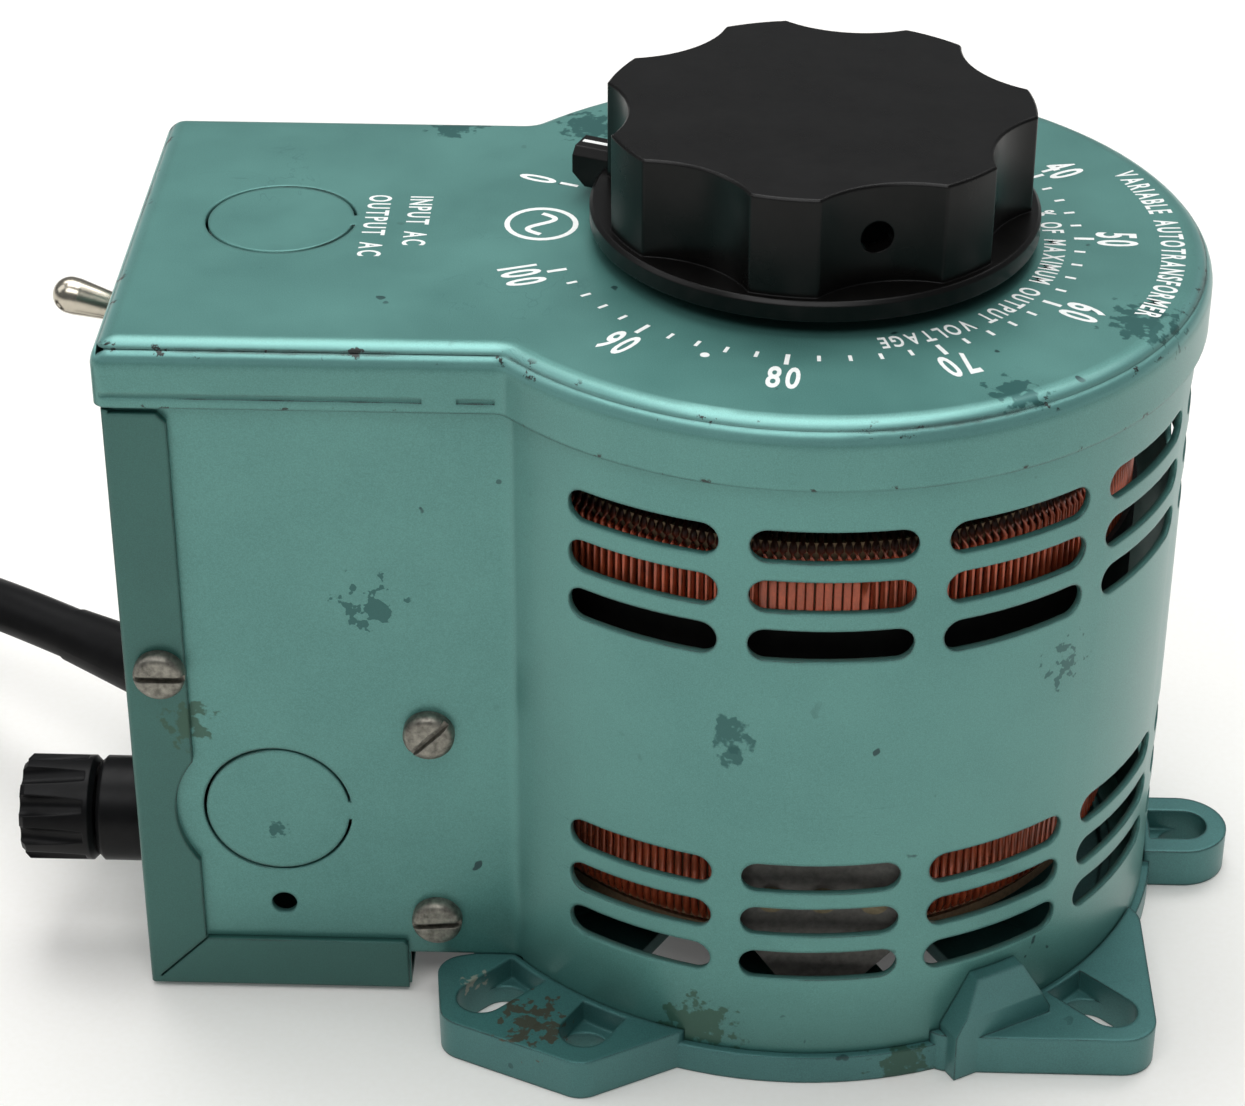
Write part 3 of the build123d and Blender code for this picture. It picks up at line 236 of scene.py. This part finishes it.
class Look:
    """A node material with short calls for the nodes used here. Noise scales are per metre."""

    def __init__(self, name):
        self.material = bpy.data.materials.new(name)
        self.material.use_nodes = True
        self.tree = self.material.node_tree
        self.shader = self.tree.nodes["Principled BSDF"]
        self.place = self.tree.nodes.new("ShaderNodeTexCoord").outputs["Object"]

    def node(self, kind):
        return self.tree.nodes.new(kind)

    def link(self, source, target):
        self.tree.links.new(source, target)

    def feed(self, socket, value):
        """Connect a socket, or set it to a number or colour."""
        if isinstance(value, bpy.types.NodeSocket):
            self.link(value, socket)
        elif isinstance(value, tuple) and len(value) == 3 and socket.type == "RGBA":
            socket.default_value = (*value, 1)
        else:
            socket.default_value = value

    def set(self, name, value):
        self.feed(self.shader.inputs[name], value)

    def colour(self, value):
        self.set("Base Color", value)

    def stretched(self, sx, sy, sz):
        node = self.node("ShaderNodeMapping")
        node.inputs["Scale"].default_value = (sx, sy, sz)
        self.link(self.place, node.inputs["Vector"])
        return node.outputs["Vector"]

    def noise(self, scale, detail=2.0, rough=0.5, place=None, distort=0.0):
        node = self.node("ShaderNodeTexNoise")
        node.inputs["Scale"].default_value = scale
        node.inputs["Detail"].default_value = detail
        node.inputs["Roughness"].default_value = rough
        node.inputs["Distortion"].default_value = distort
        self.link(place or self.place, node.inputs["Vector"])
        return node.outputs["Fac"]

    def ramp(self, value, low, high, out=(0.0, 1.0)):
        """Map low..high to out, clamped."""
        node = self.node("ShaderNodeMapRange")
        self.feed(node.inputs["Value"], value)
        node.inputs["From Min"].default_value = low
        node.inputs["From Max"].default_value = high
        node.inputs["To Min"].default_value = out[0]
        node.inputs["To Max"].default_value = out[1]
        return node.outputs["Result"]

    def math(self, operation, a, b=0.0):
        node = self.node("ShaderNodeMath")
        node.operation = operation
        self.feed(node.inputs[0], a)
        self.feed(node.inputs[1], b)
        return node.outputs[0]

    def mix(self, fac, a, b):
        node = self.node("ShaderNodeMix")
        node.data_type = "RGBA"
        self.feed(node.inputs["Factor"], fac)
        self.feed(node.inputs["A"], a)
        self.feed(node.inputs["B"], b)
        return node.outputs["Result"]

    def axis(self, name):
        node = self.node("ShaderNodeSeparateXYZ")
        self.link(self.place, node.inputs[0])
        return node.outputs[name]

    def near(self, centre, radius, ragged):
        """1 near a point, fading to 0 at a radius, with a ragged outline."""
        node = self.node("ShaderNodeVectorMath")
        node.operation = "DISTANCE"
        self.link(self.place, node.inputs[0])
        node.inputs[1].default_value = Vector(centre) * MM
        wobble = self.ramp(self.noise(OUTLINE_SCALE, 2.5, 0.55), 0.3, 0.7, (-ragged * MM, ragged * MM))
        distance = self.math("ADD", node.outputs["Value"], wobble)
        return self.ramp(distance, radius * MM, radius * MM * OUTLINE_FADE)

    def bump(self, height, distance, strength=1.0, normal=None):
        node = self.node("ShaderNodeBump")
        node.inputs["Strength"].default_value = strength
        node.inputs["Distance"].default_value = distance * MM
        self.link(height, node.inputs["Height"])
        if normal is not None:
            self.link(normal, node.inputs["Normal"])
        return node.outputs["Normal"]

    def soft_edge(self, radius):
        """A normal that is rounded over every edge, and how near an edge is."""
        node = self.node("ShaderNodeBevel")
        node.samples = EDGE_SAMPLES
        node.inputs["Radius"].default_value = radius * MM
        true = self.node("ShaderNodeNewGeometry").outputs["Normal"]
        dot = self.node("ShaderNodeVectorMath")
        dot.operation = "DOT_PRODUCT"
        self.link(node.outputs["Normal"], dot.inputs[0])
        self.link(true, dot.inputs[1])
        return node.outputs["Normal"], self.math("SUBTRACT", 1.0, dot.outputs["Value"])


# ---------------------------------------------------------------- materials
DARK_TEAL = (0.006, 0.078, 0.074)
MOSS = (0.028, 0.078, 0.045)
RUST = (0.085, 0.048, 0.022)
OLD_PAINT = (0.42, 0.40, 0.32)

# Marks on the sheet metal and on the casting: place, radius, raggedness, colour.
CASE_STAINS = (
    ((-12.3, -63.2, 70.0), 3.2, 2.0, DARK_TEAL),
    ((-12.0, -63.3, 65.5), 1.9, 1.2, DARK_TEAL),
    ((41.4, -49.3, 76.0), 2.6, 4.2, DARK_TEAL),
    ((-72.0, -42.4, 80.0), 2.2, 5.2, DARK_TEAL),
    ((-89.5, -42.4, 34.0), 1.5, 1.2, DARK_TEAL),
    ((-16.7, -62.2, 9.0), 5.5, 4.2, MOSS),
    ((-103.0, -43.7, 56.0), 3.8, 3.0, MOSS),
    ((-62.0, 40.0, 127.7), 4.0, 3.0, DARK_TEAL),
    ((-38.0, 41.0, 127.7), 5.5, 4.0, DARK_TEAL),
    ((52.0, -30.0, 127.4), 5.5, 4.5, DARK_TEAL),
    ((30.0, -53.0, 127.4), 3.6, 3.0, DARK_TEAL),
)
CAST_STAINS = (
    ((-45.0, -60.0, 7.0), 4.5, 5.0, RUST),
    ((-54.0, -50.0, 7.6), 2.6, 2.4, OLD_PAINT),
    ((18.0, -64.0, 3.0), 5.0, 3.6, MOSS),
)
STAIN_COVER = 0.80
# Heights in millimetres of the cover's rounded rim and of its skirt's lower edge.
RIM_HEIGHTS = ((125.0, 127.5), (116.4, 117.5))
EDGE_WEAR = 0.085
EDGE_RADIUS = 0.9
BAND_FADE = 0.5
# The rim is painted brighter as a painted highlight, and the case is darker towards its foot.
RIM_HIGHLIGHT_HEIGHTS = (124.4, 127.6)
RIM_HIGHLIGHT_SHARE = 0.25
RIM_HIGHLIGHT_COLOUR = (0.30, 0.62, 0.60)
FOOT_DARKENING = (0.030, 0.100, 0.088)
FOOT_DARKENING_HEIGHTS = (4.0, 20.0)
SOOT_HEIGHTS = (98.0, 100.0)
SOOT = (0.018, 0.009, 0.006)
PIT = (0.016, 0.06, 0.06)
BARE_STEEL = (0.022, 0.028, 0.026)
SCRATCH = (0.03, 0.12, 0.12)


def band(look, height, heights):
    """1 between two heights, 0 outside them."""
    low, high = heights
    rising = look.ramp(height, low * MM, (low + BAND_FADE) * MM)
    falling = look.ramp(height, high * MM, (high - BAND_FADE) * MM)
    return look.math("MULTIPLY", rising, falling)


def paint_specks(look):
    """Small dark pits, gathered in patches."""
    speck = look.ramp(look.noise(210, 2, 0.5), 0.715, 0.735)
    patch = look.ramp(look.noise(26, 2), 0.50, 0.62)
    return look.math("MULTIPLY", speck, patch)


def paint_chips(look, edge, height):
    """Bare patches on the edges and along the cover's rim."""
    ragged = look.noise(330, 5, 0.65)
    sites = look.ramp(look.noise(45, 2), 0.42, 0.62)
    worn = look.math("MULTIPLY", edge, look.math("MULTIPLY", ragged, sites))
    chips = look.ramp(worn, EDGE_WEAR, EDGE_WEAR * 1.5)
    for heights in RIM_HEIGHTS:
        rim_sites = look.ramp(look.noise(230, 4, 0.7), 0.60, 0.63)
        rim_chips = look.math("MULTIPLY", band(look, height, heights), rim_sites)
        chips = look.math("MAXIMUM", chips, rim_chips)
    return chips


def hairlines(look):
    """Thin level scratches, gathered in patches."""
    lines = look.noise(70, 3, 0.6, look.stretched(1.0, 1.0, 9.0), 0.6)
    off_middle = look.math("ABSOLUTE", look.math("SUBTRACT", lines, 0.5))
    hair = look.ramp(off_middle, 0.006, 0.0, (0.0, 0.35))
    return look.math("MULTIPLY", hair, look.ramp(look.noise(30, 2), 0.56, 0.66))


def enamel(name, light, dark, rough, stains, foot_darkening):
    """Metallic teal enamel over steel, chipped at its edges, scuffed, spotted and stained."""
    look = Look(name)
    rounded, edge = look.soft_edge(EDGE_RADIUS)
    flake = look.noise(5200, 1)
    cloud = look.noise(38, 4, 0.6)
    height = look.axis("Z")
    specks = paint_specks(look)
    chips = paint_chips(look, edge, height)
    # Painted highlight: a brighter band of colour along the cover's rounded rim, where light glints off
    # the edge.
    rim_highlight = look.math("MULTIPLY", band(look, height, RIM_HIGHLIGHT_HEIGHTS), RIM_HIGHLIGHT_SHARE)
    darkening_low, darkening_high = (z * MM for z in FOOT_DARKENING_HEIGHTS)
    glint = tuple(min(1, c * 1.9) for c in light)
    base = look.mix(look.ramp(cloud, 0.35, 0.65), dark, light)
    base = look.mix(look.ramp(flake, 0.3, 0.75, (0.0, 0.28)), base, glint)
    base = look.mix(specks, base, PIT)
    base = look.mix(rim_highlight, base, RIM_HIGHLIGHT_COLOUR)
    # Darker towards the case's foot, by a share that each paint sets.
    base = look.mix(look.ramp(height, darkening_low, darkening_high, (foot_darkening, 0.0)), base, FOOT_DARKENING)
    base = look.mix(chips, base, BARE_STEEL)
    for centre, radius, ragged_by, stain in stains:
        cover = look.math("MULTIPLY", look.near(centre, radius, ragged_by), STAIN_COVER)
        base = look.mix(cover, base, stain)
    look.colour(look.mix(hairlines(look), base, SCRATCH))
    look.set("Metallic", 0.45)
    look.set("Roughness", look.ramp(cloud, 0.3, 0.7, (rough, rough + 0.08)))
    look.set("Coat Weight", 0.20)
    look.set("Coat Roughness", 0.18)
    relief = look.bump(look.noise(1400, 2), 0.02, 0.35, rounded)
    relief = look.bump(look.math("ADD", chips, specks), 0.08, -0.6, relief)
    look.set("Normal", relief)
    return look


def case_paint():
    light, dark = (0.096, 0.254, 0.228), (0.076, 0.215, 0.194)
    return enamel("case_enamel", light, dark, 0.34, CASE_STAINS, 0.45).material


def panel_paint():
    """The end panel's own coat, which is darker than the case's."""
    light, dark = (0.034, 0.118, 0.101), (0.027, 0.098, 0.085)
    return enamel("panel_enamel", light, dark, 0.36, CASE_STAINS, 0.3).material


def cast_paint():
    light, dark = (0.066, 0.190, 0.182), (0.050, 0.155, 0.150)
    return enamel("cast_enamel", light, dark, 0.40, CAST_STAINS, 0.0).material


def plain(name, colour, rough, metallic=0.0, tint=0.25, grain=600.0, relief=0.02, coat=0.0, edge=0.0):
    """A base for the simpler finishes: mottled colour, uneven gloss and a fine relief."""
    look = Look(name)
    mottle = look.noise(grain, 4, 0.6)
    darker = tuple(c * (1 - tint) for c in colour)
    lighter = tuple(min(1.0, c * (1 + tint)) for c in colour)
    look.colour(look.mix(look.ramp(mottle, 0.3, 0.7), darker, lighter))
    gloss_range = (rough * 0.85, min(1.0, rough * 1.15))
    look.set("Roughness", look.ramp(look.noise(grain * 0.2, 3), 0.3, 0.7, gloss_range))
    look.set("Metallic", metallic)
    if coat:
        look.set("Coat Weight", coat)
    normal = look.soft_edge(edge)[0] if edge else None
    look.set("Normal", look.bump(mottle, relief, 0.4, normal))
    return look


def phenolic():
    look = plain("knob_phenolic", (0.0028, 0.0026, 0.0024), 0.30, tint=0.3, grain=500,
                 relief=0.01, edge=0.4)
    look.set("Specular IOR Level", 0.22)
    return look.material


def black_plastic():
    look = plain("black_plastic", (0.0034, 0.0034, 0.0038), 0.40, tint=0.3, grain=700, edge=0.4)
    look.set("Specular IOR Level", 0.16)
    return look.material


def old_screw():
    look = plain("old_screw", (0.22, 0.21, 0.18), 0.45, 0.85, tint=0.45, grain=900,
                 relief=0.06, edge=0.35)
    return look.material


def shaft_steel():
    return plain("shaft_steel", (0.50, 0.50, 0.50), 0.3, 1.0, grain=1200).material


def bronze():
    return plain("bronze", (0.42, 0.25, 0.11), 0.45, 1.0, grain=2500).material


def brass():
    return plain("brass", (0.17, 0.14, 0.09), 0.60, 0.9, grain=900).material


def nickel():
    look = plain("nickel_plate", (0.50, 0.46, 0.38), 0.22, 1.0, tint=0.12, grain=400,
                 relief=0.01, edge=0.4)
    return look.material


def enamelled_wire():
    """Copper-red wire enamel, sooty over the top of the winding."""
    look = plain("enamelled_wire", (0.40, 0.075, 0.028), 0.30, 0.55, tint=0.35, grain=300,
                 relief=0.01, coat=0.5)
    copper = look.shader.inputs["Base Color"].links[0].from_socket
    sooty = look.ramp(look.axis("Z"), SOOT_HEIGHTS[0] * MM, SOOT_HEIGHTS[1] * MM, (0.0, 0.9))
    look.colour(look.mix(sooty, copper, SOOT))
    return look.material


def bared_copper():
    return plain("bared_copper", (0.62, 0.27, 0.14), 0.35, 1.0, grain=1800).material


def core_steel():
    return plain("core_steel", (0.20, 0.20, 0.21), 0.4, 0.9, grain=3000).material


def varnished_band():
    return plain("varnished_band", (0.010, 0.009, 0.008), 0.5, tint=0.4, grain=500, relief=0.05).material


def pressboard():
    return plain("pressboard", (0.20, 0.13, 0.07), 0.8, grain=1500, relief=0.05).material


def board_phenolic():
    return plain("board_phenolic", (0.085, 0.078, 0.070), 0.6, tint=0.3, grain=800, relief=0.03).material


def cast_arm():
    return plain("cast_arm", (0.45, 0.45, 0.45), 0.5, 1.0, grain=900, relief=0.06).material


def carbon():
    return plain("carbon", (0.02, 0.02, 0.02), 0.5, 0.2, grain=2500).material


def fuse_glass():
    return plain("fuse_glass", (0.60, 0.62, 0.62), 0.15, 0.4, tint=0.1, grain=400).material


def cord_jacket():
    look = plain("cord_jacket", (0.0038, 0.0038, 0.0042), 0.50, tint=0.35, grain=450, relief=0.05)
    look.set("Specular IOR Level", 0.15)
    return look.material


def lead_jacket():
    look = plain("lead_jacket", (0.006, 0.006, 0.006), 0.45, grain=700)
    look.set("Specular IOR Level", 0.2)
    return look.material


def white_print():
    return plain("white_print", (0.80, 0.82, 0.80), 0.55, tint=0.06, grain=800, relief=0.01).material


FINISHES = {
    "case_paint": case_paint,
    "base_paint": cast_paint,
    "phenolic": phenolic,
    "black_plastic": black_plastic,
    "screw_steel": old_screw,
    "shaft_steel": shaft_steel,
    "bronze": bronze,
    "brass_parts": brass,
    "copper": enamelled_wire,
    "bare_copper": bared_copper,
    "core_steel": core_steel,
    "insulation": varnished_band,
    "paper": pressboard,
    "board": board_phenolic,
    "arm_metal": cast_arm,
    "carbon": carbon,
    "nickel": nickel,
    "fuse_glass": fuse_glass,
    "cord_rubber": cord_jacket,
    "wire_jacket": lead_jacket,
    "tie": lead_jacket,
}


def dress_nodes():
    """Give every CAD node the finish of its material slot, and the end panel its own."""
    made = {slot: make() for slot, make in FINISHES.items()}
    own = {"end_panel": panel_paint()}
    for part in frame["record"]["subparts"]:
        mesh = frame["nodes"][part["node"]].data
        mesh.materials.clear()
        mesh.materials.append(own.get(part["node"], made[part["material_slot"]]))
    return made


# ---------------------------------------------------------------- mesh helpers
# Below this sine of its angle to the vertical, a run of wire counts as upright.
UPRIGHT = 0.2


def mesh_object(name, mesh, material):
    thing = bpy.data.objects.new(name, mesh)
    bpy.context.collection.objects.link(thing)
    mesh.materials.append(material)
    return thing


def mesh_from(name, bm):
    """A mesh made of a bmesh, which is freed."""
    mesh = bpy.data.meshes.new(name)
    bm.to_mesh(mesh)
    bm.free()
    return mesh


def closed_tube(bm, points, radius, sides):
    """A round tube along a closed loop of points, added to a bmesh."""
    rings = []
    count = len(points)
    for i, point in enumerate(points):
        along = (points[(i + 1) % count] - points[i - 1]).normalized()
        side = along.cross(Vector((0, 0, 1)))
        if side.length < UPRIGHT:
            side = along.cross(Vector((0, 1, 0)))
        side.normalize()
        rise = side.cross(along)
        ring = []
        for k in range(sides):
            a = 2 * math.pi * k / sides
            ring.append(bm.verts.new(point + radius * (math.cos(a) * side + math.sin(a) * rise)))
        rings.append(ring)
    for i in range(count):
        one, two = rings[i], rings[(i + 1) % count]
        for k in range(sides):
            bm.faces.new((one[k], one[(k + 1) % sides], two[(k + 1) % sides], two[k]))


# ---------------------------------------------------------------- winding
COIL_R = 56.0
COIL_IN_R = 20.0
COIL_Z = (23.0, 102.0)
WIRE = 1.3
WIRE_SIDES = 8
WINDING_TURNS = 216
WIRE_BEND = 3.5
INNER_BEND = 1.4
BEND_STEPS = 4
# The turns leave a gap for the leads, and each is out of line by up to a small random angle.
LEAD_GAP_ANGLE = 179.0
LEAD_GAP = 30.0
GAP_MARGIN = 0.8
UNEVEN_ANGLE = 0.06
# The turns crowd on the inside, where they lie in layers this far apart.
LAYERS = 3
LAYER_STEP = 0.5


def turn_profile(inner_r):
    """Points (radius, height) of one turn: a rectangle with rounded corners."""
    half = WIRE / 2
    outer_r = COIL_R - half
    low, high = COIL_Z[0] + half, COIL_Z[1] - half
    corners = (
        (outer_r - WIRE_BEND, low + WIRE_BEND, WIRE_BEND, -90),
        (outer_r - WIRE_BEND, high - WIRE_BEND, WIRE_BEND, 0),
        (inner_r + INNER_BEND, high - WIRE_BEND, INNER_BEND, 90),
        (inner_r + INNER_BEND, low + WIRE_BEND, INNER_BEND, 180),
    )
    points = []
    for centre_r, centre_z, width, start in corners:
        for step in range(BEND_STEPS + 1):
            a = math.radians(start + 90 / BEND_STEPS * step)
            points.append((centre_r + width * math.cos(a), centre_z + WIRE_BEND * math.sin(a)))
    return points


def make_winding(material):
    """Every turn of enamelled wire round the core."""
    bm = bmesh.new()
    start = LEAD_GAP_ANGLE + LEAD_GAP / 2 + GAP_MARGIN
    step = (360 - LEAD_GAP - 2 * GAP_MARGIN) / (WINDING_TURNS - 1)
    rng = random.Random(7)
    for i in range(WINDING_TURNS):
        a = math.radians(start + i * step + rng.uniform(-UNEVEN_ANGLE, UNEVEN_ANGLE))
        profile = turn_profile(COIL_IN_R + WIRE / 2 + (i % LAYERS) * LAYER_STEP)
        points = [Vector((r * math.cos(a), r * math.sin(a), z)) * MM for r, z in profile]
        closed_tube(bm, points, WIRE / 2 * MM, WIRE_SIDES)
    mesh = mesh_from("winding_turns", bm)
    for face in mesh.polygons:
        face.use_smooth = True
    turns = mesh_object("winding_turns", mesh, material)
    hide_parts("winding")
    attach(turns, "root")


# ---------------------------------------------------------------- brush spring
def make_spring():
    """The brush's spring: a copy of its CAD mesh, carried by the rotor."""
    node = frame["nodes"]["brush_spring"]
    finish = node.data.materials[0]
    copy = node.data.copy()
    copy.materials.clear()
    spring = mesh_object("spring_coils", copy, finish)
    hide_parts("brush_spring")
    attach(spring, "rotor")
    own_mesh(spring)


# ---------------------------------------------------------------- dial print
# Thickness of the print and its height over the cover.
INK_THICK = 0.03
INK_LIFT = 0.002
CAPITAL_SHARE = 0.73
SPACE_SHARE = 0.35
DISC_SIDES = 32


def ink_spot(x, y, lift=0.0):
    """A point on the cover, half way up the ink's thickness."""
    return Vector((x, y, COVER_TOP + INK_THICK / 2 + lift + INK_LIFT)) * MM


def total_width(glyphs, gap):
    return sum(width for _, width in glyphs) + gap * (len(glyphs) - 1)


class Print:
    """White marks on the top cover, gathered into one mesh."""

    def __init__(self):
        self.bm = bmesh.new()

    def add(self, part, matrix):
        """Add a bmesh, moved by a matrix."""
        part.transform(matrix)
        mesh = mesh_from("part", part)
        self.bm.from_mesh(mesh)
        bpy.data.meshes.remove(mesh)

    def bar(self, centre, length, width, angle):
        """A rectangular mark, length along the angle."""
        part = bmesh.new()
        bmesh.ops.create_cube(part, size=1)
        size = Matrix.Diagonal((length * MM, width * MM, INK_THICK * MM, 1))
        turn = Matrix.Rotation(math.radians(angle), 4, "Z")
        self.add(part, Matrix.Translation(ink_spot(*centre)) @ turn @ size)

    def disc(self, centre, radius, inner=0.0):
        """A round mark, or a ring."""
        part = bmesh.new()
        angles = [2 * math.pi * k / DISC_SIDES for k in range(DISC_SIDES)]
        rings = []
        for z in (0.0, INK_THICK * MM):
            for r in (radius * MM, inner * MM):
                rings.append([part.verts.new((r * math.cos(a), r * math.sin(a), z)) for a in angles])
        low_out, low_in, high_out, high_in = rings
        for k in range(DISC_SIDES):
            n = (k + 1) % DISC_SIDES
            part.faces.new((high_in[k], high_out[k], high_out[n], high_in[n]))
            part.faces.new((low_out[k], low_in[k], low_in[n], low_out[n]))
            part.faces.new((low_out[k], low_out[n], high_out[n], high_out[k]))
            part.faces.new((low_in[n], low_in[k], high_in[k], high_in[n]))
        bmesh.ops.remove_doubles(part, verts=part.verts, dist=1e-7)
        self.add(part, Matrix.Translation(ink_spot(*centre, -INK_THICK / 2)))

    def ribbon(self, points, width):
        """One flat strip of even width along points."""
        part = bmesh.new()
        rows = []
        for i, point in enumerate(points):
            before, after = points[max(i - 1, 0)], points[min(i + 1, len(points) - 1)]
            dx, dy = after[0] - before[0], after[1] - before[1]
            reach = width / 2 / math.hypot(dx, dy)
            sides = [(point[0] - dy * reach * s, point[1] + dx * reach * s) for s in (1, -1)]
            lifts = (-INK_THICK / 2, INK_THICK / 2)
            rows.append([part.verts.new(ink_spot(*side, lift)) for lift in lifts for side in sides])
        for one, two in zip(rows, rows[1:]):
            for a, b in ((0, 1), (1, 3), (3, 2), (2, 0)):
                part.faces.new((one[a], one[b], two[b], two[a]))
        for low_a, low_b, high_a, high_b in (rows[0], rows[-1]):
            part.faces.new((low_a, low_b, high_b, high_a))
        bmesh.ops.recalc_face_normals(part, faces=part.faces)
        self.add(part, Matrix.Identity(4))

    def letter(self, text, height, squeeze, heavy):
        """A flat letter with its baseline on X, and its width."""
        curve = bpy.data.curves.new("letter", "FONT")
        curve.body = text
        curve.size = height / CAPITAL_SHARE * MM
        curve.offset = heavy * MM
        curve.extrude = INK_THICK / 2 * MM
        curve.resolution_u = 4
        thing = bpy.data.objects.new("letter", curve)
        bpy.context.collection.objects.link(thing)
        bpy.context.view_layer.update()
        graph = bpy.context.evaluated_depsgraph_get()
        mesh = bpy.data.meshes.new_from_object(thing.evaluated_get(graph))
        bpy.data.objects.remove(thing)
        bpy.data.curves.remove(curve)
        part = bmesh.new()
        part.from_mesh(mesh)
        bpy.data.meshes.remove(mesh)
        if not part.verts:
            return part, height * SPACE_SHARE
        low = min(v.co.x for v in part.verts)
        high = max(v.co.x for v in part.verts)
        for v in part.verts:
            v.co.x = (v.co.x - (low + high) / 2) * squeeze
        return part, (high - low) / MM * squeeze

    def row(self, text, centre, facing, height, squeeze, heavy, gap):
        """A straight line of letters; facing is the angle in which their tops point."""
        glyphs = [self.letter(c, height, squeeze, heavy) for c in text]
        along = -total_width(glyphs, gap) / 2
        turn = Matrix.Rotation(math.radians(facing - 90), 4, "Z")
        for part, width in glyphs:
            local = Matrix.Translation(Vector((along + width / 2, -height / 2, 0)) * MM)
            self.add(part, Matrix.Translation(ink_spot(*centre)) @ turn @ local)
            along += width + gap

    def arc(self, text, radius, middle, height, squeeze, heavy, gap):
        """Letters round the shaft with their tops outwards, read clockwise."""
        glyphs = [self.letter(c, height, squeeze, heavy) for c in text]
        along = -total_width(glyphs, gap) / 2
        for part, width in glyphs:
            angle = middle - math.degrees((along + width / 2) / radius)
            turn = Matrix.Rotation(math.radians(angle - 90), 4, "Z")
            local = Matrix.Translation(Vector((0, radius, 0)) * MM)
            self.add(part, Matrix.Translation(ink_spot(0, 0)) @ turn @ local)
            along += width + gap

    def finish(self, material):
        dial = mesh_object("dial_print", mesh_from("dial_print", self.bm), material)
        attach(dial, "root")


# The dial: where its scale starts, how far it goes, and its rings of marks, numbers and words.
ZERO_ANGLE = 157.9
DIAL_TRAVEL = 317.7
MARKS_R = 43.1
LONG_MARK = (3.3, 0.75)
SHORT_MARK = (1.8, 0.6)
NUMBERS_R = 50.4
DOT_R = 46.9
DOT_ANGLE = -112.1
# Each style of lettering: height, squeeze, added weight and gap.
NUMBER_STYLE = (6.7, 0.50, 0.22, 0.75)
LEGEND_STYLE = (3.6, 0.58, 0.10, 0.55)
KIND_STYLE = (4.0, 0.55, 0.12, 0.5)
SMALL_STYLE = (3.9, 0.60, 0.10, 0.65)
MARK_CENTRE = (-45.4, 1.5)
MARK_RING = (6.2, 5.3)
WAVE_SIZE = (2.2, 3.9)
WAVE_WIDTH = 0.95
WAVE_STEPS = 32


def make_print(material):
    ink = Print()
    for value in range(0, 101, 2):
        angle = ZERO_ANGLE - DIAL_TRAVEL * value / 100
        major = value % 10 == 0
        length, width = LONG_MARK if major else SHORT_MARK
        ink.bar(polar(MARKS_R + length / 2, angle), length, width, angle)
        if major:
            outward = math.cos(math.radians(angle)) > 0
            facing = angle if outward else angle + 180
            ink.row(str(value), polar(NUMBERS_R, angle), facing, *NUMBER_STYLE)
    ink.disc(polar(DOT_R, DOT_ANGLE), 0.75)
    ink.arc("% OF MAXIMUM OUTPUT VOLTAGE", 38.2, -31.0, *LEGEND_STYLE)
    ink.arc("VARIABLE AUTOTRANSFORMER", 57.4, -1.5, *KIND_STYLE)
    ink.row("OUTPUT AC", (-73.0, 0.0), 0, *SMALL_STYLE)
    ink.row("INPUT AC", (-66.0, 2.0), 0, *SMALL_STYLE)
    generic_mark(ink)
    ink.finish(material)


def generic_mark(ink):
    """A sine wave in a ring: a plain sign for alternating current."""
    x, y = MARK_CENTRE
    swing, reach = WAVE_SIZE
    ink.disc(MARK_CENTRE, *MARK_RING)
    wave = []
    for i in range(WAVE_STEPS + 1):
        part = -1 + 2 * i / WAVE_STEPS
        wave.append((x + swing * math.sin(part * math.pi), y + part * reach))
    ink.ribbon(wave, WAVE_WIDTH)


# ---------------------------------------------------------------- pointer line
POINTER_TOP = 136.5
POINTER_ANGLE = 158.0
POINTER_LINE_R = 39.2
POINTER_LINE_SIZE = (5.6, 0.9, 0.06)


def make_pointer_line(material):
    """White line along the top of the knob's pointer."""
    bm = bmesh.new()
    bmesh.ops.create_cube(bm, size=1)
    length, width, thick = POINTER_LINE_SIZE
    x, y = polar(POINTER_LINE_R, POINTER_ANGLE)
    place = Matrix.Translation(Vector((x, y, POINTER_TOP + thick / 2)) * MM)
    turn = Matrix.Rotation(math.radians(POINTER_ANGLE), 4, "Z")
    bm.transform(place @ turn @ Matrix.Diagonal((length * MM, width * MM, thick * MM, 1)))
    line = mesh_object("pointer_line", mesh_from("pointer_line", bm), material)
    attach(line, "rotor")


# ---------------------------------------------------------------- build
bpy.context.scene.view_settings.view_transform = "Standard"
make_camera()
finishes = dress_nodes()
make_cord(finishes["cord_rubber"])
make_lights()
make_floor()
make_winding(finishes["copper"])
make_spring()
ink_white = white_print()
make_print(ink_white)
make_pointer_line(ink_white)
